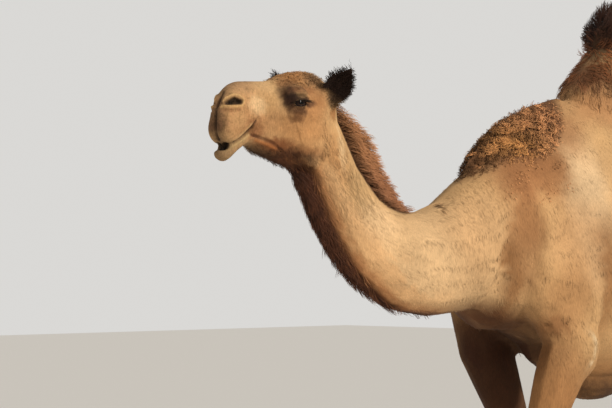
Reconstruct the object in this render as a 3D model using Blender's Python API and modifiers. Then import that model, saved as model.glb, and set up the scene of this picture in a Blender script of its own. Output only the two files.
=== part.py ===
"""A dromedary camel, life size, standing in mid stride with its head raised.

The body is shaped whole, from lofted tubes and muscle masses fused into one
skin, and is then parted by thin cuts into head, jaw, neck, trunk, hump and the
three lengths of each leg.  Ears, eyes, nails, tail and the masses of long hair
are pieces of their own.  Metres, +Z up, nose towards -X, the left side at -Y.
Lengths along the body are first counted back from the tip of the nose.
"""

import math

import bmesh
import bpy
import numpy as np
from mathutils import Euler, Matrix, Vector

# Driving dimensions of the animal, in metres
WITHERS_HEIGHT = 1.95
BODY_LENGTH = 2.90
HUMP_TOP = 2.290
SOLE_LEVEL = 0.0
CUT_GAP = 0.0006
SURFACE_GAP = 0.0005

# Fineness of the surface; a tube is so many points round and steps between stations
FUSE_VOXEL = 0.008
SMOOTH_ROUNDS = 10
SMOOTH_FACTOR = 0.5
BODY_TRIANGLES = 2500
HEAD_TRIANGLES = 1150
FULL = (28, 5)
SPARE = (12, 1)

# Trunk, as upright slices: distance behind the nose, top, level of greatest
# width, underside, half width, and how round the upper and lower halves are.
TRUNK_SLICES = (
    (1.075, 1.560, 1.43, 1.310, 0.095, 2.0, 2.0),
    (1.178, 1.790, 1.43, 1.240, 0.170, 1.8, 2.0),
    (1.300, 1.905, 1.43, 1.230, 0.212, 1.6, 1.9),
    (1.430, 1.962, 1.43, 1.168, 0.235, 1.5, 1.8),
    (1.585, WITHERS_HEIGHT + 0.055, 1.45, 1.060, 0.255, 1.5, 1.9),
    (1.790, 2.050, 1.48, 1.035, 0.290, 1.6, 2.1),
    (2.000, 2.050, 1.51, 1.050, 0.318, 1.7, 2.2),
    (2.200, 2.000, 1.55, 1.100, 0.318, 1.8, 2.2),
    (2.400, 1.940, 1.60, 1.190, 0.280, 1.8, 2.1),
    (2.580, 1.875, 1.61, 1.300, 0.225, 1.9, 2.0),
    (2.740, 1.790, 1.60, 1.390, 0.180, 1.9, 2.0),
    (2.830, 1.710, 1.58, 1.450, 0.130, 2.0, 2.0),
    (BODY_LENGTH - 0.02, 1.640, 1.57, 1.500, 0.060, 2.0, 2.0),
)

# Hump, as level slices: height, centre behind the nose, half length, half width.
HUMP_SLICES = (
    (1.860, 2.160, 0.470, 0.185),
    (1.940, 2.095, 0.440, 0.190),
    (2.030, 2.050, 0.418, 0.182),
    (2.095, 2.048, 0.368, 0.168),
    (2.150, 2.054, 0.312, 0.150),
    (2.210, 2.050, 0.255, 0.120),
    (2.255, 2.045, 0.190, 0.086),
    (HUMP_TOP - 0.008, 2.040, 0.105, 0.045),
)

# Neck: centre behind the nose, height, depth to the throat, depth to the nape,
# half width.
NECK_STATIONS = (
    (0.364, 1.900, 0.085, 0.085, 0.070),
    (0.418, 1.830, 0.100, 0.094, 0.077),
    (0.459, 1.750, 0.106, 0.102, 0.080),
    (0.510, 1.670, 0.112, 0.110, 0.083),
    (0.578, 1.590, 0.124, 0.120, 0.088),
    (0.668, 1.518, 0.142, 0.138, 0.094),
    (0.770, 1.472, 0.160, 0.156, 0.102),
    (0.893, 1.458, 0.172, 0.172, 0.112),
    (1.015, 1.476, 0.186, 0.190, 0.128),
    (1.157, 1.520, 0.225, 0.225, 0.155),
    (1.320, 1.580, 0.270, 0.260, 0.180),
)

# Head, as upright slices like the trunk's, and the two lips in front of it.
HEAD_SLICES = (
    (0.100, 2.003, 1.922, 1.845, 0.047, 2.2, 2.0),
    (0.150, 2.006, 1.917, 1.795, 0.052, 2.2, 1.9),
    (0.210, 2.010, 1.926, 1.770, 0.062, 2.2, 1.8),
    (0.265, 2.027, 1.930, 1.752, 0.078, 2.2, 1.7),
    (0.320, 2.040, 1.930, 1.742, 0.085, 2.2, 1.7),
    (0.375, 2.040, 1.925, 1.750, 0.084, 2.2, 1.8),
    (0.425, 2.020, 1.915, 1.785, 0.075, 2.1, 1.9),
    (0.470, 1.970, 1.900, 1.840, 0.048, 2.0, 2.0),
)
UPPER_LIP_SLICES = (
    (-0.004, 1.915, 1.876, 1.840, 0.024, 2.4, 2.4),
    (0.008, 1.938, 1.880, 1.822, 0.040, 2.4, 2.5),
    (0.026, 1.970, 1.885, 1.811, 0.049, 2.2, 2.6),
    (0.056, 1.996, 1.888, 1.819, 0.054, 2.2, 2.6),
    (0.092, 2.004, 1.895, 1.848, 0.052, 2.2, 2.4),
    (0.140, 2.004, 1.905, 1.872, 0.049, 2.2, 2.2),
)
LOWER_LIP_SLICES = (
    (-0.002, 1.797, 1.788, 1.778, 0.016, 2.0, 2.0),
    (0.012, 1.799, 1.783, 1.763, 0.029, 2.2, 2.0),
    (0.030, 1.800, 1.783, 1.761, 0.034, 2.2, 2.0),
    (0.056, 1.816, 1.801, 1.782, 0.035, 2.2, 2.0),
    (0.082, 1.834, 1.819, 1.800, 0.036, 2.2, 2.0),
    (0.108, 1.848, 1.832, 1.813, 0.038, 2.2, 2.0),
    (0.130, 1.856, 1.832, 1.803, 0.040, 2.2, 2.0),
    (0.160, 1.860, 1.830, 1.786, 0.042, 2.2, 1.9),
    (0.220, 1.860, 1.828, 1.766, 0.048, 2.2, 1.8),
)

# Paired muscle and bone masses of one side: centre behind the nose, out from
# the middle, height, then the three radii and the tilt about the Y axis.
PAIRED_MASSES = {
    "shoulder_blade": ((1.345, 0.148, 1.530), (0.110, 0.068, 0.170), 18),
    "shoulder_crest": ((1.440, 0.108, 1.700), (0.095, 0.058, 0.150), 20),
    "upper_arm": ((1.370, 0.165, 1.390), (0.165, 0.085, 0.175), 0),
    "elbow_muscle": ((1.455, 0.185, 1.330), (0.105, 0.068, 0.165), 8),
    "hip_bone": ((2.480, 0.140, 1.795), (0.105, 0.055, 0.055), 14),
    "thigh": ((2.560, 0.130, 1.450), (0.180, 0.085, 0.290), 16),
    "buttock": ((2.740, 0.105, 1.540), (0.120, 0.080, 0.200), 10),
    "flank": ((2.400, 0.160, 1.330), (0.130, 0.070, 0.170), -20),
    "brow": ((0.260, 0.062, 1.966), (0.050, 0.033, 0.032), 0),
    "orbit": ((0.264, 0.064, 1.938), (0.042, 0.031, 0.034), 0),
    "cheek_bone": ((0.335, 0.068, 1.905), (0.080, 0.022, 0.022), -8),
    "jaw_muscle": ((0.352, 0.048, 1.828), (0.074, 0.040, 0.078), 0),
    "ear_root": ((0.402, 0.066, 1.955), (0.038, 0.030, 0.042), 0),
    "nostril_flap": ((0.046, 0.031, 1.944), (0.024, 0.018, 0.020), 0),
    "lip_pad": ((0.030, 0.024, 1.858), (0.037, 0.029, 0.046), 0),
}
MIDDLE_MASSES = {
    "breast": ((1.190, 0.0, 1.370), (0.110, 0.130, 0.110), 0),
    "keel": ((1.500, 0.0, 1.180), (0.085, 0.085, 0.075), 12),
}

# Joints of each leg, from the body down to the middle of the foot: distance
# behind the nose, out from the middle, height.
LEG_JOINTS = {
    "foreleg_left": (
        (1.310, 0.150, 1.420),
        (1.415, 0.182, 1.200),
        (1.195, 0.130, 0.635),
        (1.052, 0.120, 0.175),
        (1.005, 0.120, 0.050),
    ),
    "foreleg_right": (
        (1.310, 0.150, 1.420),
        (1.393, 0.180, 1.200),
        (1.640, 0.132, 0.635),
        (1.765, 0.122, 0.175),
        (1.722, 0.122, 0.050),
    ),
    "hindleg_left": (
        (2.590, 0.120, 1.560),
        (2.400, 0.165, 1.190),
        (2.650, 0.135, 0.660),
        (2.520, 0.125, 0.175),
        (2.472, 0.125, 0.050),
    ),
    "hindleg_right": (
        (2.640, 0.120, 1.560),
        (2.500, 0.165, 1.180),
        (2.880, 0.135, 0.675),
        (2.915, 0.125, 0.175),
        (2.872, 0.125, 0.050),
    ),
}

# Thickness along a leg: the length it lies on, how far down that length, then
# the depth in front, the depth behind and the half width.
FORELEG_SIZES = (
    (0, 0.00, 0.120, 0.120, 0.080),
    (1, 0.00, 0.104, 0.122, 0.079),
    (1, 0.12, 0.102, 0.108, 0.076),
    (1, 0.34, 0.086, 0.084, 0.067),
    (1, 0.62, 0.060, 0.060, 0.052),
    (1, 0.86, 0.047, 0.045, 0.044),
    (2, 0.00, 0.064, 0.050, 0.058),
    (2, 0.17, 0.044, 0.042, 0.043),
    (2, 0.50, 0.033, 0.036, 0.033),
    (2, 0.84, 0.036, 0.040, 0.038),
    (3, 0.00, 0.046, 0.050, 0.050),
    (3, 0.55, 0.052, 0.056, 0.060),
    (3, 1.00, 0.062, 0.062, 0.068),
)
HINDLEG_SIZES = (
    (0, 0.00, 0.170, 0.150, 0.085),
    (0, 0.55, 0.150, 0.155, 0.094),
    (1, 0.00, 0.100, 0.145, 0.084),
    (1, 0.22, 0.090, 0.112, 0.072),
    (1, 0.45, 0.068, 0.082, 0.057),
    (1, 0.72, 0.050, 0.056, 0.045),
    (1, 0.90, 0.046, 0.052, 0.041),
    (2, 0.00, 0.052, 0.068, 0.049),
    (2, 0.18, 0.042, 0.042, 0.040),
    (2, 0.52, 0.032, 0.036, 0.032),
    (2, 0.85, 0.036, 0.039, 0.037),
    (3, 0.00, 0.044, 0.048, 0.048),
    (3, 0.55, 0.050, 0.052, 0.056),
    (3, 1.00, 0.056, 0.056, 0.062),
)
LEG_SIZES = {"foreleg": FORELEG_SIZES, "hindleg": HINDLEG_SIZES}
FOOT_SIZES = {"foreleg": (0.104, 0.090), "hindleg": (0.096, 0.080)}

# Where the body is parted: a point on the cut and a direction towards the head.
HEAD_CUT = ((0.405, 0.0, 1.850), (-0.83, 0.0, 0.56))
MID_NECK_CUT = ((0.632, 0.0, 1.550), (-0.72, 0.0, 0.70))
NECK_CUT = ((1.120, 0.0, 1.600), (-0.967, 0.0, 0.255))
HUMP_CUT = ((2.060, 0.0, 1.985), (0.11, 0.0, 0.99))

# The sleeve that takes a leg off the body: how far down its upper length it
# begins, how far it stands off the leg; the feet are taken off at one level.
SLEEVE_START = {"foreleg": 0.02, "hindleg": 0.05}
SLEEVE_ROOM = 0.022
FETLOCK_LEVEL = 0.205

# Face
EYE_CENTRE = (0.265, 0.0765, 1.938)
EYE_RADIUS = 0.0195
EYE_OPENING = (0.0185, 0.0165, 0.0072)
NOSTRIL = ((0.034, 0.048, 1.938), (0.017, 0.013, 0.006), -20)
MOUTH_LINE = ((-0.10, 1.800), (-0.02, 1.806), (0.050, 1.812), (0.080, 1.836), (0.106, 1.868))
JAW_LINE = ((0.300, 1.805), (0.560, 1.780), (0.560, 1.600), (-0.100, 1.600))

# Ears
EAR_ROOT = (0.396, 0.074, 1.962)
EAR_LENGTH = 0.126
EAR_HALF_WIDTH = 0.042
EAR_THICKNESS = 0.011
EAR_CUP = 0.020
EAR_TURN = (-46, 4, 40)

# Nails, a pair to each foot
NAIL_SIZE = (0.030, 0.020, 0.017)

# Chest pad under the breastbone
CHEST_PAD = ((1.745, 0.0, 1.062), (0.150, 0.105, 0.078), 0)

# Tail and the tuft at its end: centre behind the nose, height, depths, half width
TAIL = (
    (2.830, 1.640, 0.044, 0.040, 0.044),
    (2.905, 1.605, 0.036, 0.034, 0.038),
    (2.950, 1.480, 0.026, 0.026, 0.029),
    (2.952, 1.300, 0.020, 0.020, 0.023),
    (2.955, 1.120, 0.015, 0.015, 0.018),
)
TAIL_TUFT = (
    (2.955, 1.118, 0.017, 0.017, 0.020),
    (2.957, 1.050, 0.032, 0.032, 0.042),
    (2.962, 0.960, 0.029, 0.029, 0.040),
    (2.968, 0.880, 0.009, 0.009, 0.012),
)

# Long hair outside the flesh.  Mane and beard run down the neck: centre behind
# the nose, height, depth to the throat, depth to the nape, half width.
MANE = (
    (0.372, 1.930, 0.020, 0.100, 0.045),
    (0.418, 1.830, 0.020, 0.178, 0.056),
    (0.459, 1.750, 0.020, 0.204, 0.060),
    (0.510, 1.670, 0.020, 0.208, 0.060),
    (0.578, 1.590, 0.020, 0.206, 0.056),
    (0.668, 1.518, 0.020, 0.196, 0.050),
    (0.770, 1.472, 0.020, 0.182, 0.042),
    (0.850, 1.460, 0.020, 0.155, 0.034),
)
BEARD = (
    (0.345, 1.850, 0.120, 0.020, 0.045),
    (0.400, 1.815, 0.144, 0.020, 0.055),
    (0.459, 1.750, 0.148, 0.020, 0.064),
    (0.510, 1.670, 0.154, 0.020, 0.066),
    (0.578, 1.590, 0.163, 0.020, 0.066),
    (0.668, 1.518, 0.172, 0.020, 0.064),
    (0.770, 1.472, 0.180, 0.020, 0.060),
    (0.893, 1.458, 0.180, 0.020, 0.056),
    (0.980, 1.470, 0.160, 0.020, 0.050),
)
# Wool over the withers, as upright slices like the trunk's, down to its edge
WOOL_SLICES = (
    (1.055, 1.712, 1.43, 1.30, 0.070, 1.6, 2.0),
    (1.100, 1.800, 1.43, 1.30, 0.135, 1.6, 2.0),
    (1.180, 1.876, 1.43, 1.30, 0.195, 1.6, 2.0),
    (1.300, 1.956, 1.43, 1.30, 0.238, 1.6, 2.0),
    (1.430, 2.003, 1.43, 1.30, 0.262, 1.6, 2.0),
    (1.560, 2.034, 1.44, 1.30, 0.268, 1.7, 2.0),
    (1.650, 2.036, 1.45, 1.30, 0.245, 1.8, 2.0),
)
WOOL_EDGE = 1.720
# Long hair on the crest of the hump, as level slices like the hump's
HUMP_HAIR_SLICES = (
    (2.100, 2.066, 0.335, 0.158),
    (2.150, 2.062, 0.322, 0.152),
    (2.210, 2.055, 0.315, 0.150),
    (2.264, 2.050, 0.292, 0.138),
    (2.310, 2.045, 0.235, 0.112),
    (2.340, 2.042, 0.165, 0.080),
    (2.358, 2.040, 0.080, 0.038),
)

# Colours, and the parts that have one of their own
COAT = (0.560, 0.345, 0.175)
LOOKS = (
    (("eye",), (0.020, 0.012, 0.008), 0.1),
    (("ear_", "tail_tuft", "hump_hair", "chest_pad"), (0.075, 0.034, 0.018), 0.85),
    (("beard", "mane"), (0.190, 0.085, 0.038), 0.85),
    (("wool",), (0.310, 0.160, 0.070), 0.9),
    (("nail",), (0.120, 0.085, 0.060), 0.45),
)


def clear_scene():
    for thing in list(bpy.data.objects):
        bpy.data.objects.remove(thing)


def material(name, colour, roughness):
    made = bpy.data.materials.new(name)
    made.use_nodes = True
    shader = made.node_tree.nodes["Principled BSDF"]
    shader.inputs["Base Color"].default_value = (*colour, 1.0)
    shader.inputs["Roughness"].default_value = roughness
    shader.inputs["Metallic"].default_value = 0.0
    made.diffuse_color = (*colour, 1.0)
    return made


def collection(name):
    made = bpy.data.collections.new(name)
    bpy.context.scene.collection.children.link(made)
    return made


def flow(stations, steps):
    """The stations with more put between them, on a smooth curve through all."""
    known = [np.array(s, float) for s in stations]
    known = [2 * known[0] - known[1], *known, 2 * known[-1] - known[-2]]
    found = []
    for a, b, c, d in zip(known, known[1:], known[2:], known[3:]):
        for step in range(steps):
            t = step / steps
            square = (2 * a - 5 * b + 4 * c - d) * t**2
            cube = (3 * b - a - 3 * c + d) * t**3
            found.append(0.5 * (2 * b + (c - a) * t + square + cube))
    found.append(known[-2])
    return found


def rounded(angle, roundness):
    """A point of a unit circle, squarer for a roundness above 2."""
    power = 2 / roundness
    cosine, sine = math.cos(angle), math.sin(angle)
    return math.copysign(abs(cosine) ** power, cosine), math.copysign(abs(sine) ** power, sine)


def ring(sides, centre, side, up, half_width, above, below, crown=2.0, keel=2.0):
    """The points of one section, with its own size above and below its centre."""
    points = []
    for i in range(sides):
        angle = 2 * math.pi * i / sides
        upper = angle < math.pi
        across, along = rounded(angle, crown if upper else keel)
        points.append(centre + side * (half_width * across) + up * ((above if upper else below) * along))
    return points


def loft(name, rings):
    """A closed tube through the rings."""
    made = bmesh.new()
    rows = [[made.verts.new(point) for point in row] for row in rings]
    sides = len(rows[0])
    for near, far in zip(rows, rows[1:]):
        for i in range(sides):
            j = (i + 1) % sides
            made.faces.new((near[i], near[j], far[j], far[i]))
    made.faces.new(rows[0])
    made.faces.new(rows[-1])
    bmesh.ops.recalc_face_normals(made, faces=made.faces)
    return from_bmesh(name, made)


def from_bmesh(name, made):
    mesh = bpy.data.meshes.new(name)
    made.to_mesh(mesh)
    made.free()
    thing = bpy.data.objects.new(name, mesh)
    bpy.context.scene.collection.objects.link(thing)
    return thing


def sliced(name, slices, fineness=FULL):
    """A form given by upright slices, such as the trunk."""
    sides, steps = fineness
    across, up = Vector((0, 1, 0)), Vector((0, 0, 1))
    rings = []
    for x, top, widest, bottom, half_width, crown, keel in flow(slices, steps):
        centre = Vector((x, 0, widest))
        rings.append(ring(sides, centre, across, up, half_width, top - widest, widest - bottom, crown, keel))
    return loft(name, rings)


def heaped(name, slices, fineness=FULL):
    """A form given by level slices, such as the hump."""
    sides, steps = fineness
    across, along = Vector((0, 1, 0)), Vector((1, 0, 0))
    rings = []
    for height, x, half_length, half_width in flow(slices, steps):
        centre = Vector((x, 0, height))
        rings.append(ring(sides, centre, across, along, half_width, half_length, half_length))
    return loft(name, rings)


def tube(name, stations, fineness=FULL):
    """A form round a path: centre, depth ahead of it, depth behind it, half width."""
    sides, steps = fineness
    rows = flow(stations, steps)
    centres = [Vector(row[:3]) for row in rows]
    rings = []
    for i, row in enumerate(rows):
        onward = centres[min(i + 1, len(rows) - 1)] - centres[max(i - 1, 0)]
        ahead = Vector((0, 1, 0)).cross(onward).normalized()
        side = onward.cross(ahead).normalized()
        rings.append(ring(sides, centres[i], side, ahead, row[5], row[3], row[4]))
    return loft(name, rings)


def middle_tube(name, stations, fineness=FULL):
    """A tube in the middle plane of the body."""
    return tube(name, [(x, 0, *sizes) for x, *sizes in stations], fineness)


def mass(name, centre, radii, tilt, side=1):
    """An ellipsoid, on the right side of the body for side 1 and the left for -1."""
    x, y, z = centre
    bpy.ops.mesh.primitive_uv_sphere_add(
        segments=32, ring_count=20, radius=1, location=(x, side * y, z), rotation=(0, math.radians(tilt), 0)
    )
    made = bpy.context.active_object
    made.name = name
    made.scale = radii
    return made


def leg_side(leg):
    return -1 if leg.endswith("left") else 1


def leg_point(leg, length, share):
    """A point part of the way down one length of a leg."""
    side = leg_side(leg)
    joints = [Vector((x, side * y, z)) for x, y, z in LEG_JOINTS[leg]]
    return joints[length].lerp(joints[min(length + 1, len(joints) - 1)], share)


def leg_form(leg):
    """One leg from its joints, with the thickness of its kind."""
    return tube(leg, [(*leg_point(leg, *sizes[:2]), *sizes[2:]) for sizes in LEG_SIZES[leg[:7]]])


def leg_sleeve(leg, grown):
    """The space round a leg, from its elbow or stifle to its fetlock."""
    room = SLEEVE_ROOM + grown
    start = (1, SLEEVE_START[leg[:7]])
    known = LEG_SIZES[leg[:7]]
    first = next(sizes for sizes in known if sizes[:2] >= start)
    begun = leg_point(leg, *start) + (leg_point(leg, 1, 0) - leg_point(leg, 1, 1)).normalized() * grown
    stations = [(*begun, *(size + room for size in first[2:]))]
    for length, share, *sizes in known:
        if (length, share) > start and (length, share) <= (3, 0):
            stations.append((*leg_point(leg, length, share), *(size + room for size in sizes)))
    return tube("sleeve", stations, SPARE)


def foot_forms(leg):
    """The broad pad of a foot, with its two toes in front."""
    x, y, z = LEG_JOINTS[leg][-1]
    side = leg_side(leg)
    half_length, half_width = FOOT_SIZES[leg[:7]]
    forms = [mass("pad", (x, y, 0.026), (half_length, half_width, 0.062), 0, side)]
    for toe in (-1, 1):
        centre = (x - 0.62 * half_length, y + toe * 0.46 * half_width, 0.030)
        forms.append(mass("toe", centre, (0.54 * half_length, 0.46 * half_width, 0.042), 6, side))
    return forms


def apply_modifiers(thing):
    graph = bpy.context.evaluated_depsgraph_get()
    mesh = bpy.data.meshes.new_from_object(thing.evaluated_get(graph))
    thing.modifiers.clear()
    thing.data = mesh


def fuse(name, forms):
    """The forms grown into one smooth closed surface."""
    bpy.context.view_layer.update()
    joined = bmesh.new()
    for form in forms:
        mesh = form.data.copy()
        mesh.transform(form.matrix_world)
        joined.from_mesh(mesh)
        bpy.data.objects.remove(form)
    made = from_bmesh(name, joined)
    remesh = made.modifiers.new("fuse", "REMESH")
    remesh.mode = "VOXEL"
    remesh.voxel_size = FUSE_VOXEL
    smooth = made.modifiers.new("smooth", "SMOOTH")
    smooth.factor = SMOOTH_FACTOR
    smooth.iterations = SMOOTH_ROUNDS
    apply_modifiers(made)
    return made


def body_forms():
    forms = [
        sliced("trunk_form", TRUNK_SLICES),
        heaped("hump_form", HUMP_SLICES),
        middle_tube("neck_form", NECK_STATIONS),
        sliced("head_form", HEAD_SLICES),
        sliced("upper_lip_form", UPPER_LIP_SLICES),
        sliced("lower_lip_form", LOWER_LIP_SLICES),
    ]
    for name, (centre, radii, tilt) in MIDDLE_MASSES.items():
        forms.append(mass(name, centre, radii, tilt))
    for name, (centre, radii, tilt) in PAIRED_MASSES.items():
        forms += [mass(name, centre, radii, tilt, side) for side in (-1, 1)]
    for leg in LEG_JOINTS:
        forms += [leg_form(leg), *foot_forms(leg)]
    return forms


def side_of(point, cut):
    """How far a point lies towards the head of a cut."""
    place, direction = cut
    return (point - Vector(place)).dot(Vector(direction).normalized())


def thin_out(thing, wanted, chosen):
    """Fewer triangles where chosen(point) is true, down to the number wanted."""
    bpy.ops.object.select_all(action="DESELECT")
    bpy.context.view_layer.objects.active = thing
    thing.select_set(True)
    bpy.ops.object.mode_set(mode="EDIT")
    bpy.ops.mesh.select_mode(type="VERT")
    bpy.ops.mesh.select_all(action="SELECT")
    bpy.ops.mesh.quads_convert_to_tris()
    bpy.ops.mesh.select_all(action="DESELECT")
    made = bmesh.from_edit_mesh(thing.data)
    for vertex in made.verts:
        vertex.select = chosen(vertex.co)
    made.select_flush_mode()
    count = sum(face.select for face in made.faces)
    bmesh.update_edit_mesh(thing.data)
    bpy.ops.mesh.decimate(ratio=wanted / max(count, 1))
    bpy.ops.object.mode_set(mode="OBJECT")


def planed(thing, name, place, direction, offset=0.0):
    """A copy of what lies beyond a plane moved on by offset, flat where it was cut."""
    normal = Vector(direction).normalized()
    made = bmesh.new()
    made.from_mesh(thing.data)
    everything = made.verts[:] + made.edges[:] + made.faces[:]
    point = Vector(place) + normal * offset
    bmesh.ops.bisect_plane(
        made, geom=everything, dist=1e-5, plane_co=point, plane_no=normal, clear_inner=True
    )
    open_edges = [edge for edge in made.edges if edge.is_boundary]
    bmesh.ops.holes_fill(made, edges=open_edges, sides=0)
    bmesh.ops.triangulate(made, faces=made.faces)
    bmesh.ops.recalc_face_normals(made, faces=made.faces)
    return from_bmesh(name, made)


def parted(thing, name, cut):
    """The piece on the head side of a cut, and the rest."""
    place, direction = cut
    back = tuple(-value for value in direction)
    piece = planed(thing, name, place, direction, CUT_GAP / 2)
    rest = planed(thing, thing.name, place, back, CUT_GAP / 2)
    bpy.data.objects.remove(thing)
    return piece, rest


def boolean(thing, other, operation):
    modifier = thing.modifiers.new(operation.lower(), "BOOLEAN")
    modifier.object = other
    modifier.operation = operation
    modifier.solver = "EXACT"
    apply_modifiers(thing)
    bpy.data.objects.remove(other)


def copy_of(thing, name):
    made = bpy.data.objects.new(name, thing.data.copy())
    bpy.context.scene.collection.objects.link(made)
    return made


def take_off(thing, name, cutter_of):
    """The piece of thing inside a cutter, leaving the cut gap round it."""
    piece = copy_of(thing, name)
    boolean(piece, cutter_of(-CUT_GAP / 2), "INTERSECT")
    boolean(thing, cutter_of(CUT_GAP / 2), "DIFFERENCE")
    return piece


def jaw_block(grown):
    """The space of the lower jaw: below the mouth, then below a line to the throat."""
    outline = [(x, z + grown) for x, z in MOUTH_LINE + JAW_LINE]
    made = bmesh.new()
    face = made.faces.new([made.verts.new((x, -0.2, z)) for x, z in outline])
    far = bmesh.ops.extrude_face_region(made, geom=[face])
    moved = [item for item in far["geom"] if isinstance(item, bmesh.types.BMVert)]
    bmesh.ops.translate(made, verts=moved, vec=(0, 0.4, 0))
    bmesh.ops.recalc_face_normals(made, faces=made.faces)
    return from_bmesh("jaw_block", made)


def ball(name, centre, radii, tilt=0, side=1, segments=12, rings=8):
    """A stretched ball of few faces, on the right side for 1 and the left for -1."""
    x, y, z = centre
    made = bmesh.new()
    bmesh.ops.create_uvsphere(made, u_segments=segments, v_segments=rings, radius=1)
    placed = Matrix.LocRotScale(Vector((x, side * y, z)), Euler((0, math.radians(tilt), 0)), Vector(radii))
    bmesh.ops.transform(made, matrix=placed, verts=made.verts)
    return from_bmesh(name, made)


def eye_ball(name, radius, side):
    return ball(name, EYE_CENTRE, (radius,) * 3, 0, side, segments=14)


def carve_face(head):
    """Eye sockets with their slit openings, and the nostrils."""
    for side in (-1, 1):
        x, y, z = EYE_CENTRE
        boolean(head, eye_ball("socket", EYE_RADIUS + SURFACE_GAP, side), "DIFFERENCE")
        boolean(head, ball("lids", (x, y + 0.019, z - 0.002), EYE_OPENING, -6, side), "DIFFERENCE")
        boolean(head, ball("nostril", *NOSTRIL, side), "DIFFERENCE")


def grown_copy(thing):
    """The same surface moved out by a gap, for fitting a neighbour to it."""
    made = copy_of(thing, thing.name + "_grown")
    swell = made.modifiers.new("swell", "DISPLACE")
    swell.strength = SURFACE_GAP
    swell.mid_level = 0
    apply_modifiers(made)
    return made


def fit_to(piece, neighbour):
    """Cuts away what a piece shares with its neighbour, keeping its main part."""
    boolean(piece, grown_copy(neighbour), "DIFFERENCE")
    keep_main_part(piece)
    return piece


def loose_parts(made):
    """The vertices of each unconnected part of a mesh, the fullest part first."""
    left = set(made.verts)
    parts = []
    while left:
        part = {left.pop()}
        to_follow = list(part)
        while to_follow:
            for edge in to_follow.pop().link_edges:
                for vertex in edge.verts:
                    if vertex not in part:
                        part.add(vertex)
                        to_follow.append(vertex)
        left -= part
        parts.append(part)
    return sorted(parts, key=len, reverse=True)


def keep_main_part(thing):
    """Drops any crumb that a cut has left beside the main part."""
    made = bmesh.new()
    made.from_mesh(thing.data)
    main_part = loose_parts(made)[0]
    crumbs = [vertex for vertex in made.verts if vertex not in main_part]
    bmesh.ops.delete(made, geom=crumbs, context="VERTS")
    made.to_mesh(thing.data)
    made.free()


def foot_near(feet, leg):
    """The foot of one leg, out of the four feet cut off together."""
    x, y, _ = leg_point(leg, 4, 0)
    made = bmesh.new()
    made.from_mesh(feet.data)
    for part in loose_parts(made)[:4]:
        middle = sum((vertex.co for vertex in part), Vector()) / len(part)
        if abs(middle.x - x) < 0.2 and middle.y * y > 0:
            others = [vertex for vertex in made.verts if vertex not in part]
    bmesh.ops.delete(made, geom=others, context="VERTS")
    return from_bmesh("foot", made)


def ear_width(along):
    """Half the width of an ear, from its root at 0 to its tip at 1."""
    swell = 0.45 + 0.55 * math.sin(math.pi * min(1, 0.15 + along) ** 1.1)
    return EAR_HALF_WIDTH * swell * (1 - along**7) + 0.003


def ear(name, side, rows=6, columns=4):
    """A cupped leaf, thick in the middle, that opens outwards and forwards."""
    made = bmesh.new()
    grid = []
    for row in range(rows + 1):
        along = row / rows
        line = []
        for column in range(columns + 1):
            across = 2 * column / columns - 1
            cup = EAR_CUP * across**2 * (1 - 0.5 * along)
            line.append(made.verts.new((ear_width(along) * across, cup, EAR_LENGTH * along)))
        grid.append(line)
    for lower, upper in zip(grid, grid[1:]):
        for i in range(columns):
            made.faces.new((lower[i], lower[i + 1], upper[i + 1], upper[i]))
    leaf = from_bmesh(name, made)
    shell = leaf.modifiers.new("thickness", "SOLIDIFY")
    shell.thickness = EAR_THICKNESS
    shell.offset = 0
    apply_modifiers(leaf)
    turn = Euler([math.radians(angle) for angle in EAR_TURN], "ZYX").to_matrix().to_4x4()
    leaf.data.transform(Matrix.Translation(EAR_ROOT) @ turn)
    if side < 0:
        leaf.data.transform(Matrix.Scale(-1, 4, (0, 1, 0)))
        leaf.data.flip_normals()
    return leaf


def nail(name, leg, toe):
    """The claw-like nail at the front of one toe."""
    x, y, z = LEG_JOINTS[leg][-1]
    half_length, half_width = FOOT_SIZES[leg[:7]]
    centre = (x - 1.06 * half_length, y + toe * 0.46 * half_width, NAIL_SIZE[2] + 0.006)
    return ball(name, centre, NAIL_SIZE, 16, leg_side(leg), 8, 5)


def add_legs(parts, body, feet, flesh):
    for leg in LEG_JOINTS:
        whole = take_off(body, leg, lambda grown: leg_sleeve(leg, grown))
        knee = (leg_point(leg, 2, 0), leg_point(leg, 1, 0) - leg_point(leg, 3, 0))
        parts[leg + "_upper"], parts[leg + "_cannon"] = parted(whole, leg, knee)
        keep_main_part(parts[leg + "_upper"])
        parts[leg + "_foot"] = foot_near(feet, leg)
        for toe, which in ((-1, "inner"), (1, "outer")):
            parts[f"{leg}_nail_{which}"] = fit_to(nail("nail", leg, toe), flesh)
    bpy.data.objects.remove(feet)


def add_face(parts, flesh):
    head = parts["head"]
    parts["jaw"] = take_off(head, "jaw", jaw_block)
    carve_face(head)
    keep_main_part(head)
    for side, which in ((-1, "left"), (1, "right")):
        parts["eye_" + which] = eye_ball("eye", EYE_RADIUS, side)
        parts["ear_" + which] = fit_to(ear("ear", side), flesh)


def wool_form():
    """The wool over the withers, with a level edge."""
    uncut = sliced("wool", WOOL_SLICES, SPARE)
    wool = planed(uncut, "wool", (0, 0, WOOL_EDGE), (0, 0, 1))
    bpy.data.objects.remove(uncut)
    return wool


def add_hair(parts, flesh):
    """The masses of long hair and wool, the tail and the chest pad."""
    parts["mane"] = fit_to(middle_tube("mane", MANE, SPARE), flesh)
    parts["beard"] = fit_to(middle_tube("beard", BEARD, SPARE), flesh)
    parts["shoulder_wool"] = fit_to(wool_form(), flesh)
    parts["hump_hair"] = fit_to(heaped("hump_hair", HUMP_HAIR_SLICES, SPARE), flesh)
    parts["chest_pad"] = fit_to(ball("chest_pad", *CHEST_PAD, segments=16), flesh)
    parts["tail"] = fit_to(middle_tube("tail", TAIL, SPARE), flesh)
    parts["tail_tuft"] = fit_to(middle_tube("tail_tuft", TAIL_TUFT, SPARE), parts["tail"])


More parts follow.
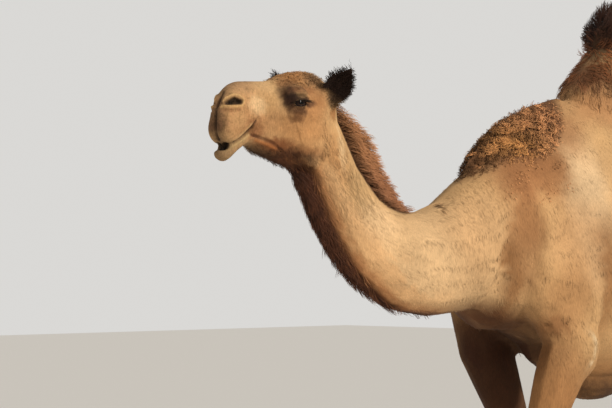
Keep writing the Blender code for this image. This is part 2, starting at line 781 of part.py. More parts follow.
def build_parts():
    """Every named piece of the animal, in its place."""
    fused = fuse("body", body_forms())
    thin_out(fused, HEAD_TRIANGLES, lambda point: side_of(point, HEAD_CUT) > 0)
    thin_out(fused, BODY_TRIANGLES, lambda point: side_of(point, HEAD_CUT) <= 0)
    body = planed(fused, "body", (0, 0, SOLE_LEVEL), (0, 0, 1))
    bpy.data.objects.remove(fused)
    flesh = copy_of(body, "flesh")

    parts = {}
    cuts = (
        ("head", HEAD_CUT),
        ("neck_upper", MID_NECK_CUT),
        ("neck_lower", NECK_CUT),
        ("hump", HUMP_CUT),
    )
    for name, cut in cuts:
        parts[name], body = parted(body, name, cut)
    feet, body = parted(body, "feet", ((0, 0, FETLOCK_LEVEL), (0, 0, -1)))
    add_legs(parts, body, feet, flesh)
    keep_main_part(body)
    parts["trunk"] = body
    add_face(parts, flesh)
    add_hair(parts, flesh)
    bpy.data.objects.remove(flesh)
    return parts


def look_of(name):
    """Colour and roughness of a part."""
    for words, colour, roughness in LOOKS:
        if any(word in name for word in words):
            return colour, roughness
    return COAT, 0.8


def finish(parts):
    """Sets the animal on the origin and gives every part its name and material."""
    corners = np.array([vertex.co for part in parts.values() for vertex in part.data.vertices])
    low, high = corners.min(axis=0), corners.max(axis=0)
    shift = Matrix.Translation((-(low[0] + high[0]) / 2, -(low[1] + high[1]) / 2, -low[2]))
    home = collection("dromedary_camel")
    for name, part in parts.items():
        part.data.transform(shift)
        part.name = name
        part.data.name = name
        part.data.materials.clear()
        part.data.materials.append(material(name + "_coat", *look_of(name)))
        part.data.polygons.foreach_set("use_smooth", [True] * len(part.data.polygons))
        part.data.set_sharp_from_angle(angle=math.radians(50))
        for held in part.users_collection:
            held.objects.unlink(part)
        home.objects.link(part)


def main():
    clear_scene()
    finish(build_parts())


if __name__ == "__main__":
    main()
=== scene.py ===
"""A dromedary camel: one skin over the whole body, with its coat, wool, mane, face and feet."""
import math
import bpy
import bmesh
import numpy as np
from mathutils import Euler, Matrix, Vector
from mathutils.bvhtree import BVHTree
from mathutils.noise import noise_vector, seed_set


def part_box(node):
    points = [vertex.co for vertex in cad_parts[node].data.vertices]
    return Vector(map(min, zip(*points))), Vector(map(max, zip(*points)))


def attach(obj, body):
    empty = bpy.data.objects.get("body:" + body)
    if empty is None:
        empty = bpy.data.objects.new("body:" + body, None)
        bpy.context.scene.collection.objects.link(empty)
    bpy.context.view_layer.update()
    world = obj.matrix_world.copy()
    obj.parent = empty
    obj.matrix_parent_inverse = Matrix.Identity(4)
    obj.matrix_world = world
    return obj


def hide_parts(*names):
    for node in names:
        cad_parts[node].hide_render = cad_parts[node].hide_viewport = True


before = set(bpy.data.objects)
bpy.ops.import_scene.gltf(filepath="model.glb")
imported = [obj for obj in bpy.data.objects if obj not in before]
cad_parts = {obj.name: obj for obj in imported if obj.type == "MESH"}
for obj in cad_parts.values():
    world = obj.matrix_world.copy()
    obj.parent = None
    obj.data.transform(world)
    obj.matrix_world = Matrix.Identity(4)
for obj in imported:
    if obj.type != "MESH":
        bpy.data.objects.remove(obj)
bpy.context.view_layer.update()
# noise starts from the clock until it is given a seed
NOISE_SEED = 11
seed_set(NOISE_SEED)

# Places are in metres: x back from the tip of the nose, y out to either side, z up from the floor.
EYE = np.array((0.265, 0.0765, 1.938))
NOSTRIL = np.array((0.03, 0.045, 1.938))
LEGS = ("foreleg_left", "foreleg_right", "hindleg_left", "hindleg_right")
NAILS = [f"{leg}_nail_{toe}" for leg in LEGS for toe in ("inner", "outer")]
FLESH = ["head", "jaw", "neck_upper", "neck_lower", "trunk", "hump", "chest_pad", "tail"]
FLESH += ["ear_left", "ear_right"]
FLESH += [f"{leg}_{part}" for leg in LEGS for part in ("upper", "cannon", "foot")]
low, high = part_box("eye_left")
FROM_NOSE = np.array((low + high) / 2) - EYE * (1, -1, 1)

# the size of the cubes that each kind of form is remeshed in
FLESH_VOXEL, BED_VOXEL, MASS_VOXEL, SKIN_VOXEL, NAIL_VOXEL = 0.012, 0.009, 0.006, 0.006, 0.0025
# how far flesh forms are swollen, so that they run together over the cuts between them
OVERLAP = 0.0012
# how many rounds of softening each surface gets
SKIN_ROUNDS, HEAD_ROUNDS, CHEEK_ROUNDS, NAIL_ROUNDS = 26, 6, 14, 10
# how far the bed of each mass of hair lies inside its solid
HAIR_DEPTHS = {"mane": 0.020, "beard": 0.016, "shoulder_wool": 0.013, "hump_hair": 0.022, "tail_tuft": 0.012}
# how many triangles the skin keeps behind the head
BODY_TRIANGLES = 68000
# how far the foot of a mass of hair, and its thin edge, are let into the flesh
FOOT_DEPTH, EDGE_DEPTH = 0.012, 0.006
# the lower edge of the wool: how far back, how high
WOOL_HEM = ((1.02, 1.10, 1.20, 1.35, 1.45, 1.52, 1.60), (1.66, 1.73, 1.785, 1.80, 1.86, 1.95, 2.03))
# how far back the head ends, and how high its lowest place is
HEAD_END, HEAD_FLOOR = 0.43, 1.735

# the middle of the neck, seen from the side: how far back, how high
NECK_LINE = np.array((
    (0.364, 1.900), (0.418, 1.830), (0.459, 1.750), (0.510, 1.670), (0.578, 1.590),
    (0.668, 1.518), (0.770, 1.472), (0.893, 1.458), (1.015, 1.476), (1.157, 1.520), (1.320, 1.580),
))


def told(points):
    """Points of the model told from the nose, with y always outwards."""
    places = np.array(points, float) - FROM_NOSE
    places[:, 1] = np.abs(places[:, 1])
    return places


# ---------------------------------------------------------------- meshes
def pick(*things):
    bpy.ops.object.select_all(action="DESELECT")
    for thing in things:
        thing.select_set(True)
    bpy.context.view_layer.objects.active = things[0]


def apply_modifiers(thing):
    pick(thing)
    for modifier in list(thing.modifiers):
        bpy.ops.object.modifier_apply(modifier=modifier.name)


def smooth(thing):
    for polygon in thing.data.polygons:
        polygon.use_smooth = True


def places_of(mesh):
    flat = np.empty(len(mesh.vertices) * 3, np.float32)
    mesh.vertices.foreach_get("co", flat)
    return flat.reshape(-1, 3).astype(float)


def put_places(mesh, points):
    mesh.vertices.foreach_set("co", np.ascontiguousarray(points, np.float32).ravel())
    mesh.update()


def normals_of(mesh):
    flat = np.empty(len(mesh.vertices) * 3, np.float32)
    mesh.vertex_normals.foreach_get("vector", flat)
    return flat.reshape(-1, 3).astype(float)


def edges_of(mesh):
    pairs = np.empty(len(mesh.edges) * 2, np.int32)
    mesh.edges.foreach_get("vertices", pairs)
    return pairs.reshape(-1, 2)


def new_thing(name, mesh):
    thing = bpy.data.objects.new(name, mesh)
    bpy.context.scene.collection.objects.link(thing)
    return thing


def node_form(name):
    """The node's mesh as a new object, with its loose triangles joined."""
    made = bmesh.new()
    made.from_mesh(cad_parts[name].data)
    bmesh.ops.remove_doubles(made, verts=made.verts, dist=1e-5)
    mesh = bpy.data.meshes.new(name + "_form")
    made.to_mesh(mesh)
    made.free()
    return new_thing(name + "_form", mesh)


def join(name, things):
    pick(*things)
    bpy.ops.object.join()
    things[0].name = name
    return things[0]


def fix_facing(thing):
    """Turns every face of a closed thing outwards."""
    made = bmesh.new()
    made.from_mesh(thing.data)
    bmesh.ops.recalc_face_normals(made, faces=made.faces)
    made.to_mesh(thing.data)
    made.free()


def unit(vectors):
    return vectors / np.maximum(np.linalg.norm(vectors, axis=-1, keepdims=True), 1e-9)


def ease(value, start, end):
    """Rises smoothly from 0 at start to 1 at end."""
    share = np.clip((value - start) / (end - start), 0, 1)
    return share * share * (3 - 2 * share)


def about(places, centre, radii):
    """1 at the centre, falling to 0 past the radii."""
    return np.exp(-((((places - centre) / radii) ** 2).sum(1) ** 2))


def noise_at(places, scale, axis):
    """Smooth noise, from about -1 to 1, that waves faster with a larger scale."""
    return np.array([noise_vector(spot * scale)[axis] for spot in map(Vector, places)])


def sided(side):
    """What turns ways told outwards to the side that each place is on."""
    return np.column_stack((np.ones(len(side)), side, np.ones(len(side))))


def side_of(points):
    """-1 on the animal's left, 1 on its right."""
    return np.sign(points[:, 1] - FROM_NOSE[1])


def soften(points, edges, rounds, share=None, give_back=0.52):
    """Evens out the surface without shrinking it."""
    count = len(points)
    first, second = edges[:, 0], edges[:, 1]
    links = np.maximum(np.bincount(edges.ravel(), minlength=count), 1)[:, None]
    for step in range(rounds * 2):
        total = np.empty_like(points)
        for axis in range(3):
            column = points[:, axis]
            total[:, axis] = np.bincount(first, column[second], count)
            total[:, axis] += np.bincount(second, column[first], count)
        move = (total / links - points) * (0.5 if step % 2 == 0 else -give_back)
        points = points + (move if share is None else move * share)
    return points


def finer(thing, chosen):
    """Every face whose corners are chosen is cut in four."""
    made = bmesh.new()
    made.from_mesh(thing.data)
    made.verts.ensure_lookup_table()
    mine = chosen(told(places_of(thing.data)))
    edges = [edge for edge in made.edges if mine[edge.verts[0].index] and mine[edge.verts[1].index]]
    bmesh.ops.subdivide_edges(made, edges=edges, cuts=1, use_grid_fill=True)
    made.to_mesh(thing.data)
    made.free()


def tree_of(thing):
    """The thing's surface, ready to be asked for its nearest point."""
    faces = [tuple(face.vertices) for face in thing.data.polygons]
    return BVHTree.FromPolygons([tuple(spot) for spot in places_of(thing.data)], faces)


def depth_in(tree, points):
    """How far each point lies inside a closed surface; below zero outside it."""
    depths = np.empty(len(points))
    for index, point in enumerate(points):
        spot, normal, face, gap = tree.find_nearest(point)
        depths[index] = math.copysign(gap, (spot - Vector(point)).dot(normal))
    return depths


def remeshed(thing, voxel):
    """One even closed surface in place of the thing's own."""
    remesh = thing.modifiers.new("one surface", "REMESH")
    remesh.mode = "VOXEL"
    remesh.voxel_size = voxel
    apply_modifiers(thing)
    return thing


def extent(name, places):
    """1 where a mass of hair keeps its full depth, 0 past the line where it thins out into the coat."""
    if name == "shoulder_wool":
        return ease(places[:, 2] - np.interp(places[:, 0], *WOOL_HEM), -0.035, 0.05)
    if name == "beard":
        return 1 - ease(places[:, 1], 0.030, 0.056)
    if name == "mane":
        return 1 - ease(places[:, 0], 0.90, 0.95)
    return np.ones(len(places))


def hair_bed(name, depth, flesh):
    """What a mass of hair grows from: its outside drawn in, and its foot let into the flesh."""
    bed = remeshed(node_form(name), BED_VOXEL)
    points, normals = places_of(bed.data), normals_of(bed.data)
    move = np.full(len(points), -depth)
    buried = np.empty_like(points)
    for index, point in enumerate(points):
        spot, normal, face, gap = flesh.find_nearest(point)
        buried[index] = spot - normal * EDGE_DEPTH
        rests_on_flesh = gap < FOOT_DEPTH and normal.dot(Vector(normals[index])) < -0.2
        if rests_on_flesh:
            move[index] = FOOT_DEPTH
    beyond = ((1 - extent(name, told(points))) * (move < 0))[:, None]
    points = (points + normals * move[:, None]) * (1 - beyond) + buried * beyond
    put_places(bed.data, points)
    return bed


def in_mass(name, points):
    """1 where the points lie in a mass of hair, 0 away from it."""
    form = remeshed(node_form(name), MASS_VOXEL)
    low, high = (np.array(corner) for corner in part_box(name))
    close = np.all((points > low - 0.02) & (points < high + 0.02), axis=1)
    share = np.zeros(len(points))
    share[close] = ease(depth_in(tree_of(form), points[close]), -0.007, 0.006)
    bpy.data.objects.remove(form)
    return share * extent(name, told(points))


def flesh_forms():
    """A form for each flesh node and eye, slightly swollen."""
    forms = []
    for name in FLESH + ["eye_left", "eye_right"]:
        form = node_form(name)
        put_places(form.data, places_of(form.data) + normals_of(form.data) * OVERLAP)
        forms.append(form)
    return forms


def skin_form():
    """Every flesh form and every hair bed, joined into one closed surface."""
    flesh = remeshed(join("skin", flesh_forms()), FLESH_VOXEL)
    tree = tree_of(flesh)
    forms = [hair_bed(name, depth, tree) for name, depth in HAIR_DEPTHS.items()]
    forms += flesh_forms()
    bpy.data.objects.remove(flesh)
    skin = remeshed(join("skin", forms), SKIN_VOXEL)
    put_places(skin.data, soften(places_of(skin.data), edges_of(skin.data), SKIN_ROUNDS))
    return skin


def of_head(places):
    """Which places are on the head or just behind it."""
    return (places[:, 0] < HEAD_END + 0.08) & (places[:, 2] > HEAD_FLOOR)


def near(places, centre, radius):
    return np.linalg.norm(places - np.array(centre), axis=1) < radius


def thin_out_body(skin):
    """Leaves fewer triangles behind the head, where short fur covers them."""
    pick(skin)
    bpy.ops.object.mode_set(mode="EDIT")
    bpy.ops.mesh.select_mode(type="VERT")
    bpy.ops.mesh.select_all(action="DESELECT")
    made = bmesh.from_edit_mesh(skin.data)
    made.verts.ensure_lookup_table()
    body = ~of_head(told([vertex.co for vertex in made.verts]))
    for vertex, chosen in zip(made.verts, body):
        vertex.select = bool(chosen)
    made.select_flush_mode()
    bmesh.update_edit_mesh(skin.data)
    bpy.ops.mesh.quads_convert_to_tris()
    made = bmesh.from_edit_mesh(skin.data)
    count = sum(face.select for face in made.faces)
    bpy.ops.mesh.decimate(ratio=BODY_TRIANGLES / count)
    bpy.ops.object.mode_set(mode="OBJECT")


# ---------------------------------------------------------------- carving the skin
def distance_to(places, path):
    """Distance from each place to a line through the path's points, and how far along it lies."""
    best = np.full(len(places), 1e9)
    along = np.zeros(len(places))
    path = np.array(path, float)
    lengths = np.linalg.norm(np.diff(path, axis=0), axis=1)
    done = 0.0
    for start, end, length in zip(path, path[1:], lengths):
        step = end - start
        share = np.clip((places - start) @ step / max(length**2, 1e-12), 0, 1)
        gap = np.linalg.norm(places - start - share[:, None] * step, axis=1)
        closer = gap < best
        best[closer] = gap[closer]
        along[closer] = (done + share[closer] * length) / lengths.sum()
        done += length
    return best, along


# what it is: (points it runs through, half width, depth; a ridge has a depth below zero)
FACE_FOLDS = {
    "nostril": ((
        (.013, .028, 1.932), (.024, .037, 1.933), (.036, .043, 1.934), (.048, .047, 1.935),
        (.056, .048, 1.937),
    ), .0042, .016),
    "inside the nostril": (((.020, .034, 1.935), (.034, .041, 1.940), (.050, .046, 1.938)), .0050, .0040),
    "nostril corner": (((.022, .034, 1.939), (.033, .040, 1.945), (.045, .045, 1.941)), .0042, .013),
    "nostril wing": ((
        (.010, .020, 1.940), (.020, .028, 1.951), (.034, .036, 1.958), (.050, .043, 1.955),
        (.064, .048, 1.944), (.063, .050, 1.935),
    ), .0050, -.0042),
    "nostril sill": ((
        (.004, .020, 1.922), (.014, .034, 1.923), (.034, .046, 1.922), (.056, .050, 1.927),
    ), .0058, -.0045),
    "fold under the nostril": ((
        (.004, .026, 1.911), (.019, .042, 1.910), (.047, .050, 1.912),
    ), .0030, .0068),
    "nose groove": (((.028, 0, 1.967), (.014, 0, 1.948), (.005, 0, 1.932), (.000, 0, 1.918)), .0048, .0060),
    "nose wing": (((.022, .017, 1.955), (.012, .018, 1.942), (.006, .017, 1.930)), .0070, -.0045),
    "cleft": ((
        (-.002, 0, 1.908), (-.003, 0, 1.885), (-.003, 0, 1.860), (.001, 0, 1.836), (.008, 0, 1.822),
    ), .0036, .0075),
    "nose pad": (((.002, .010, 1.921), (.001, .014, 1.914)), .006, -.0035),
    "lip beside the cleft": ((
        (-.002, .012, 1.900), (-.003, .013, 1.875), (.002, .014, 1.845),
    ), .010, -.0035),
    "mouth": ((
        (.020, 0, 1.810), (.022, .017, 1.811), (.039, .033, 1.818), (.068, .032, 1.834),
        (.100, .029, 1.853), (.109, .037, 1.864), (.114, .046, 1.882),
    ), .0040, .0095),
    "corner of the mouth": ((
        (.104, .046, 1.878), (.112, .049, 1.892), (.122, .051, 1.898), (.132, .052, 1.890),
        (.134, .051, 1.876),
    ), .0055, -.0042),
    "fold behind the mouth": ((
        (.126, .050, 1.872), (.122, .044, 1.856), (.116, .036, 1.842),
    ), .0045, .0040),
    "jaw fold": ((
        (.110, .034, 1.843), (.133, .038, 1.836), (.163, .040, 1.829), (.195, .042, 1.818),
        (.223, .039, 1.802), (.232, .036, 1.796),
    ), .0030, .0070),
    "jaw roll": ((
        (.125, .034, 1.826), (.150, .037, 1.820), (.178, .038, 1.812), (.205, .038, 1.803),
    ), .0075, -.0048),
    "lip edge": ((
        (.016, .026, 1.820), (.036, .037, 1.826), (.062, .041, 1.840), (.085, .042, 1.854),
        (.100, .045, 1.870),
    ), .006, -.0030),
    "lower lip rim": ((
        (.010, .024, 1.797), (.026, .029, 1.801), (.050, .032, 1.812), (.080, .031, 1.828),
        (.100, .032, 1.842),
    ), .0045, -.0030),
    "lip hollow": (((.012, 0, 1.800), (.018, .010, 1.803), (.026, .014, 1.807)), .0075, .0110),
    "cheek hollow": (((.170, .060, 1.900), (.200, .060, 1.880), (.225, .062, 1.865)), .020, .0040),
    "cheek": (((.270, .070, 1.850), (.300, .078, 1.865)), .034, -.0060),
    "cheek bone": ((
        (.205, .066, 1.905), (.240, .074, 1.900), (.280, .084, 1.905), (.330, .086, 1.915),
    ), .012, -.0035),
    "brow": ((
        (.212, .066, 1.968), (.232, .080, 1.974), (.262, .090, 1.975), (.292, .089, 1.968),
    ), .011, -.0060),
    "groove above the lid": ((
        (.236, .087, 1.958), (.252, .093, 1.962), (.275, .094, 1.961), (.296, .090, 1.953),
    ), .0038, .0032),
    "tear groove": ((
        (.234, .082, 1.930), (.226, .070, 1.915), (.232, .067, 1.898), (.244, .067, 1.884),
    ), .006, .0035),
    "bag under the eye": (((.240, .084, 1.918), (.262, .090, 1.914), (.286, .090, 1.920)), .008, -.0025),
    "fold under the bag": (((.238, .080, 1.906), (.262, .086, 1.902), (.290, .087, 1.910)), .004, .0020),
    "hollow over the eye": (((.300, .080, 1.985), (.320, .076, 1.990)), .018, .0060),
    "nose bridge side": (((.110, .046, 1.965), (.150, .052, 1.962), (.190, .058, 1.960)), .012, .0030),
    "jaw edge": ((
        (.230, .045, 1.790), (.270, .055, 1.786), (.305, .066, 1.790), (.330, .074, 1.815),
    ), .012, -.0050),
    "throat hollow": (((.335, .060, 1.760), (.350, .078, 1.800), (.362, .085, 1.850)), .014, .0060),
    "neck cord": ((
        (.425, .083, 1.925), (.436, .082, 1.880), (.452, .078, 1.840), (.480, .072, 1.800),
        (.503, .068, 1.770),
    ), .008, -.0060),
    "hollow before the cord": ((
        (.402, .086, 1.925), (.412, .086, 1.880), (.428, .082, 1.838), (.450, .078, 1.790),
    ), .008, .0045),
    "chin": (((.006, 0, 1.776), (.024, 0, 1.768), (.050, 0, 1.780)), .014, -.0030),
}
BODY_FOLDS = {
    "throat line": ((
        (.400, .048, 1.700), (.470, .050, 1.585), (.560, .052, 1.480), (.680, .056, 1.395),
        (.800, .058, 1.340),
    ), .012, .0050),
    "neck groove": ((
        (.450, .078, 1.740), (.520, .082, 1.630), (.600, .090, 1.540), (.720, .098, 1.470),
        (.860, .108, 1.440),
    ), .020, .0070),
    "neck muscle": ((
        (.480, .076, 1.790), (.560, .082, 1.680), (.650, .088, 1.590), (.760, .096, 1.540),
        (.900, .110, 1.530),
    ), .022, -.0060),
    "shoulder crease": ((
        (1.150, .152, 1.640), (1.142, .155, 1.567), (1.136, .152, 1.490), (1.135, .142, 1.418),
        (1.122, .118, 1.365), (1.105, .090, 1.333),
    ), .014, .0140),
    "neck fold": ((
        (1.110, .142, 1.560), (1.104, .138, 1.470), (1.095, .126, 1.400), (1.075, .095, 1.345),
    ), .016, -.0070),
    "chest fold 1": ((
        (1.110, .020, 1.275), (1.150, .060, 1.262), (1.200, .100, 1.250), (1.262, .145, 1.238),
    ), .008, .0060),
    "chest fold 2": ((
        (1.130, .000, 1.255), (1.175, .045, 1.238), (1.225, .085, 1.225), (1.280, .125, 1.215),
    ), .008, .0060),
    "chest fold 3": (((1.165, .000, 1.228), (1.215, .040, 1.212), (1.262, .070, 1.200)), .007, .0050),
    "shoulder blade": ((
        (1.300, .150, 1.760), (1.285, .190, 1.600), (1.262, .210, 1.460), (1.245, .215, 1.390),
    ), .022, -.0060),
    "hollow behind the blade": ((
        (1.500, .200, 1.700), (1.500, .235, 1.560), (1.492, .250, 1.440), (1.488, .250, 1.330),
    ), .026, .0080),
    "elbow fold": ((
        (1.268, .180, 1.248), (1.300, .215, 1.262), (1.345, .250, 1.264), (1.392, .262, 1.248),
        (1.425, .262, 1.212),
    ), .007, .0110),
    "elbow roll": (((1.290, .205, 1.238), (1.345, .246, 1.246), (1.390, .258, 1.230)), .010, -.0050),
    "elbow point": (((1.470, .240, 1.220), (1.476, .235, 1.180)), .018, -.0090),
    "elbow pad rim": ((
        (1.400, .262, 1.256), (1.440, .262, 1.236), (1.458, .255, 1.205), (1.462, .250, 1.160),
        (1.440, .250, 1.110),
    ), .0055, -.0035),
    "flank fold": (((2.300, .240, 1.180), (2.340, .245, 1.260), (2.350, .240, 1.350)), .022, .0090),
    "haunch": (((2.520, .190, 1.640), (2.500, .205, 1.480), (2.440, .205, 1.320)), .060, -.0100),
    "haunch groove": (((2.700, .165, 1.600), (2.680, .170, 1.450), (2.640, .165, 1.300)), .016, .0080),
    "hip bone": (((2.440, .215, 1.800), (2.470, .205, 1.830)), .035, -.0100),
    "backbone": (((2.480, 0, 1.930), (2.620, 0, 1.865), (2.760, 0, 1.790)), .026, -.0050),
}
RIB_SPACING = 0.105
RIBS = [
    (((1.640 + back, .285, 1.640), (1.665 + back, .305, 1.480), (1.655 + back, .290, 1.320)), .020, -.0042)
    for back in (RIB_SPACING * rib for rib in range(6))
]


def carve(skin, folds, part):
    """Presses the folds into the skin, or raises the ridges, on both sides alike."""
    points = places_of(skin.data)
    normals = normals_of(skin.data)
    places = told(points)
    mine = np.flatnonzero(part(places))
    places, moved = places[mine], np.zeros(len(mine))
    for path, width, depth in folds:
        gap, along = distance_to(places, path)
        ends = ease(along, -0.02, 0.12) * ease(1 - along, -0.02, 0.12)
        moved += depth * np.exp(-((gap / width) ** 2)) * (0.25 + 0.75 * ends)
    points[mine] -= normals[mine] * moved[:, None]
    put_places(skin.data, points)


# ---------------------------------------------------------------- eyes
GAZE = unit(np.array((-0.30, 0.95, 0.02)))
EYE_SEAT = np.array((0.2655, 0.0710, 1.9390))
EYE_SIZE = 0.0245
LID_TILT = math.radians(4)
LID_LENGTH, LID_TOP, LID_DROP = 0.0225, 0.0066, 0.0086
LID_THICKNESS, SOCKET_DEPTH = 0.0026, 0.0060


def lid_axes():
    """Along the opening to its rear corner, and up across it."""
    back = unit(np.array((1.0, 0, 0)) - GAZE * GAZE[0])
    up = unit(np.cross(back, GAZE))
    turned = back * math.cos(LID_TILT) + up * math.sin(LID_TILT)
    return turned, unit(up * math.cos(LID_TILT) - back * math.sin(LID_TILT))


def lid_share(places):
    """How far each place is from the middle of the opening: 1 is the edge of the lids."""
    back, up = lid_axes()
    along = (places - EYE_SEAT) @ back
    across = (places - EYE_SEAT) @ up
    bow = np.sqrt(np.clip(1 - (along / LID_LENGTH) ** 2, 0, 1))
    edge = np.where(across > 0, LID_TOP, LID_DROP) * np.maximum(bow, 0.03)
    along = np.abs(along)
    return np.hypot(across / edge * (along < LID_LENGTH), (along / LID_LENGTH) ** 4)


def open_lids(skin):
    """Draws the skin over the eyeball, and behind it inside the opening."""
    points = places_of(skin.data)
    places = told(points)
    mine = np.flatnonzero(near(places, EYE, 0.062))
    side = side_of(points[mine])
    spot = places[mine]
    ray = spot - EYE_SEAT
    reach = np.linalg.norm(ray, axis=1)
    facing = (ray @ GAZE) / np.maximum(reach, 1e-6)
    back, up = lid_axes()
    along, across = ray @ back, ray @ up
    oval = np.hypot(along / 0.036, across / 0.029)
    drape = (1 - ease(oval, 0.62, 1.0)) * (facing > 0)
    moved = reach + (EYE_SIZE + LID_THICKNESS - reach) * drape
    inside = lid_share(spot)
    sunk = (1 - ease(inside, 0.80, 1.02)) * (facing > 0.3)
    moved = moved * (1 - sunk) + (EYE_SIZE - SOCKET_DEPTH) * sunk
    spot = EYE_SEAT + ray * (moved / np.maximum(reach, 1e-6))[:, None]
    spot[:, 1] *= side
    points[mine] = spot + FROM_NOSE
    put_places(skin.data, points)


# ---------------------------------------------------------------- colours of the coat, with painted shade and highlights
def linear(colour):
    """A colour given from 0 to 255 as the shares of light that shaders mix."""
    shares = np.array(colour, float) / 255
    return np.where(shares <= 0.04045, shares / 12.92, ((shares + 0.055) / 1.055) ** 2.4)


def laid_over(colours, tone, share):
    """The colours with that share of a tone laid over each."""
    share = share[:, None]
    return colours * (1 - share) + linear(tone) * share


SAND = (206, 165, 115)
BED_TONES = {
    "mane": (84, 50, 34), "beard": (58, 34, 22), "shoulder_wool": (92, 58, 38),
    "hump_hair": (44, 26, 19), "tail_tuft": (48, 32, 24),
}
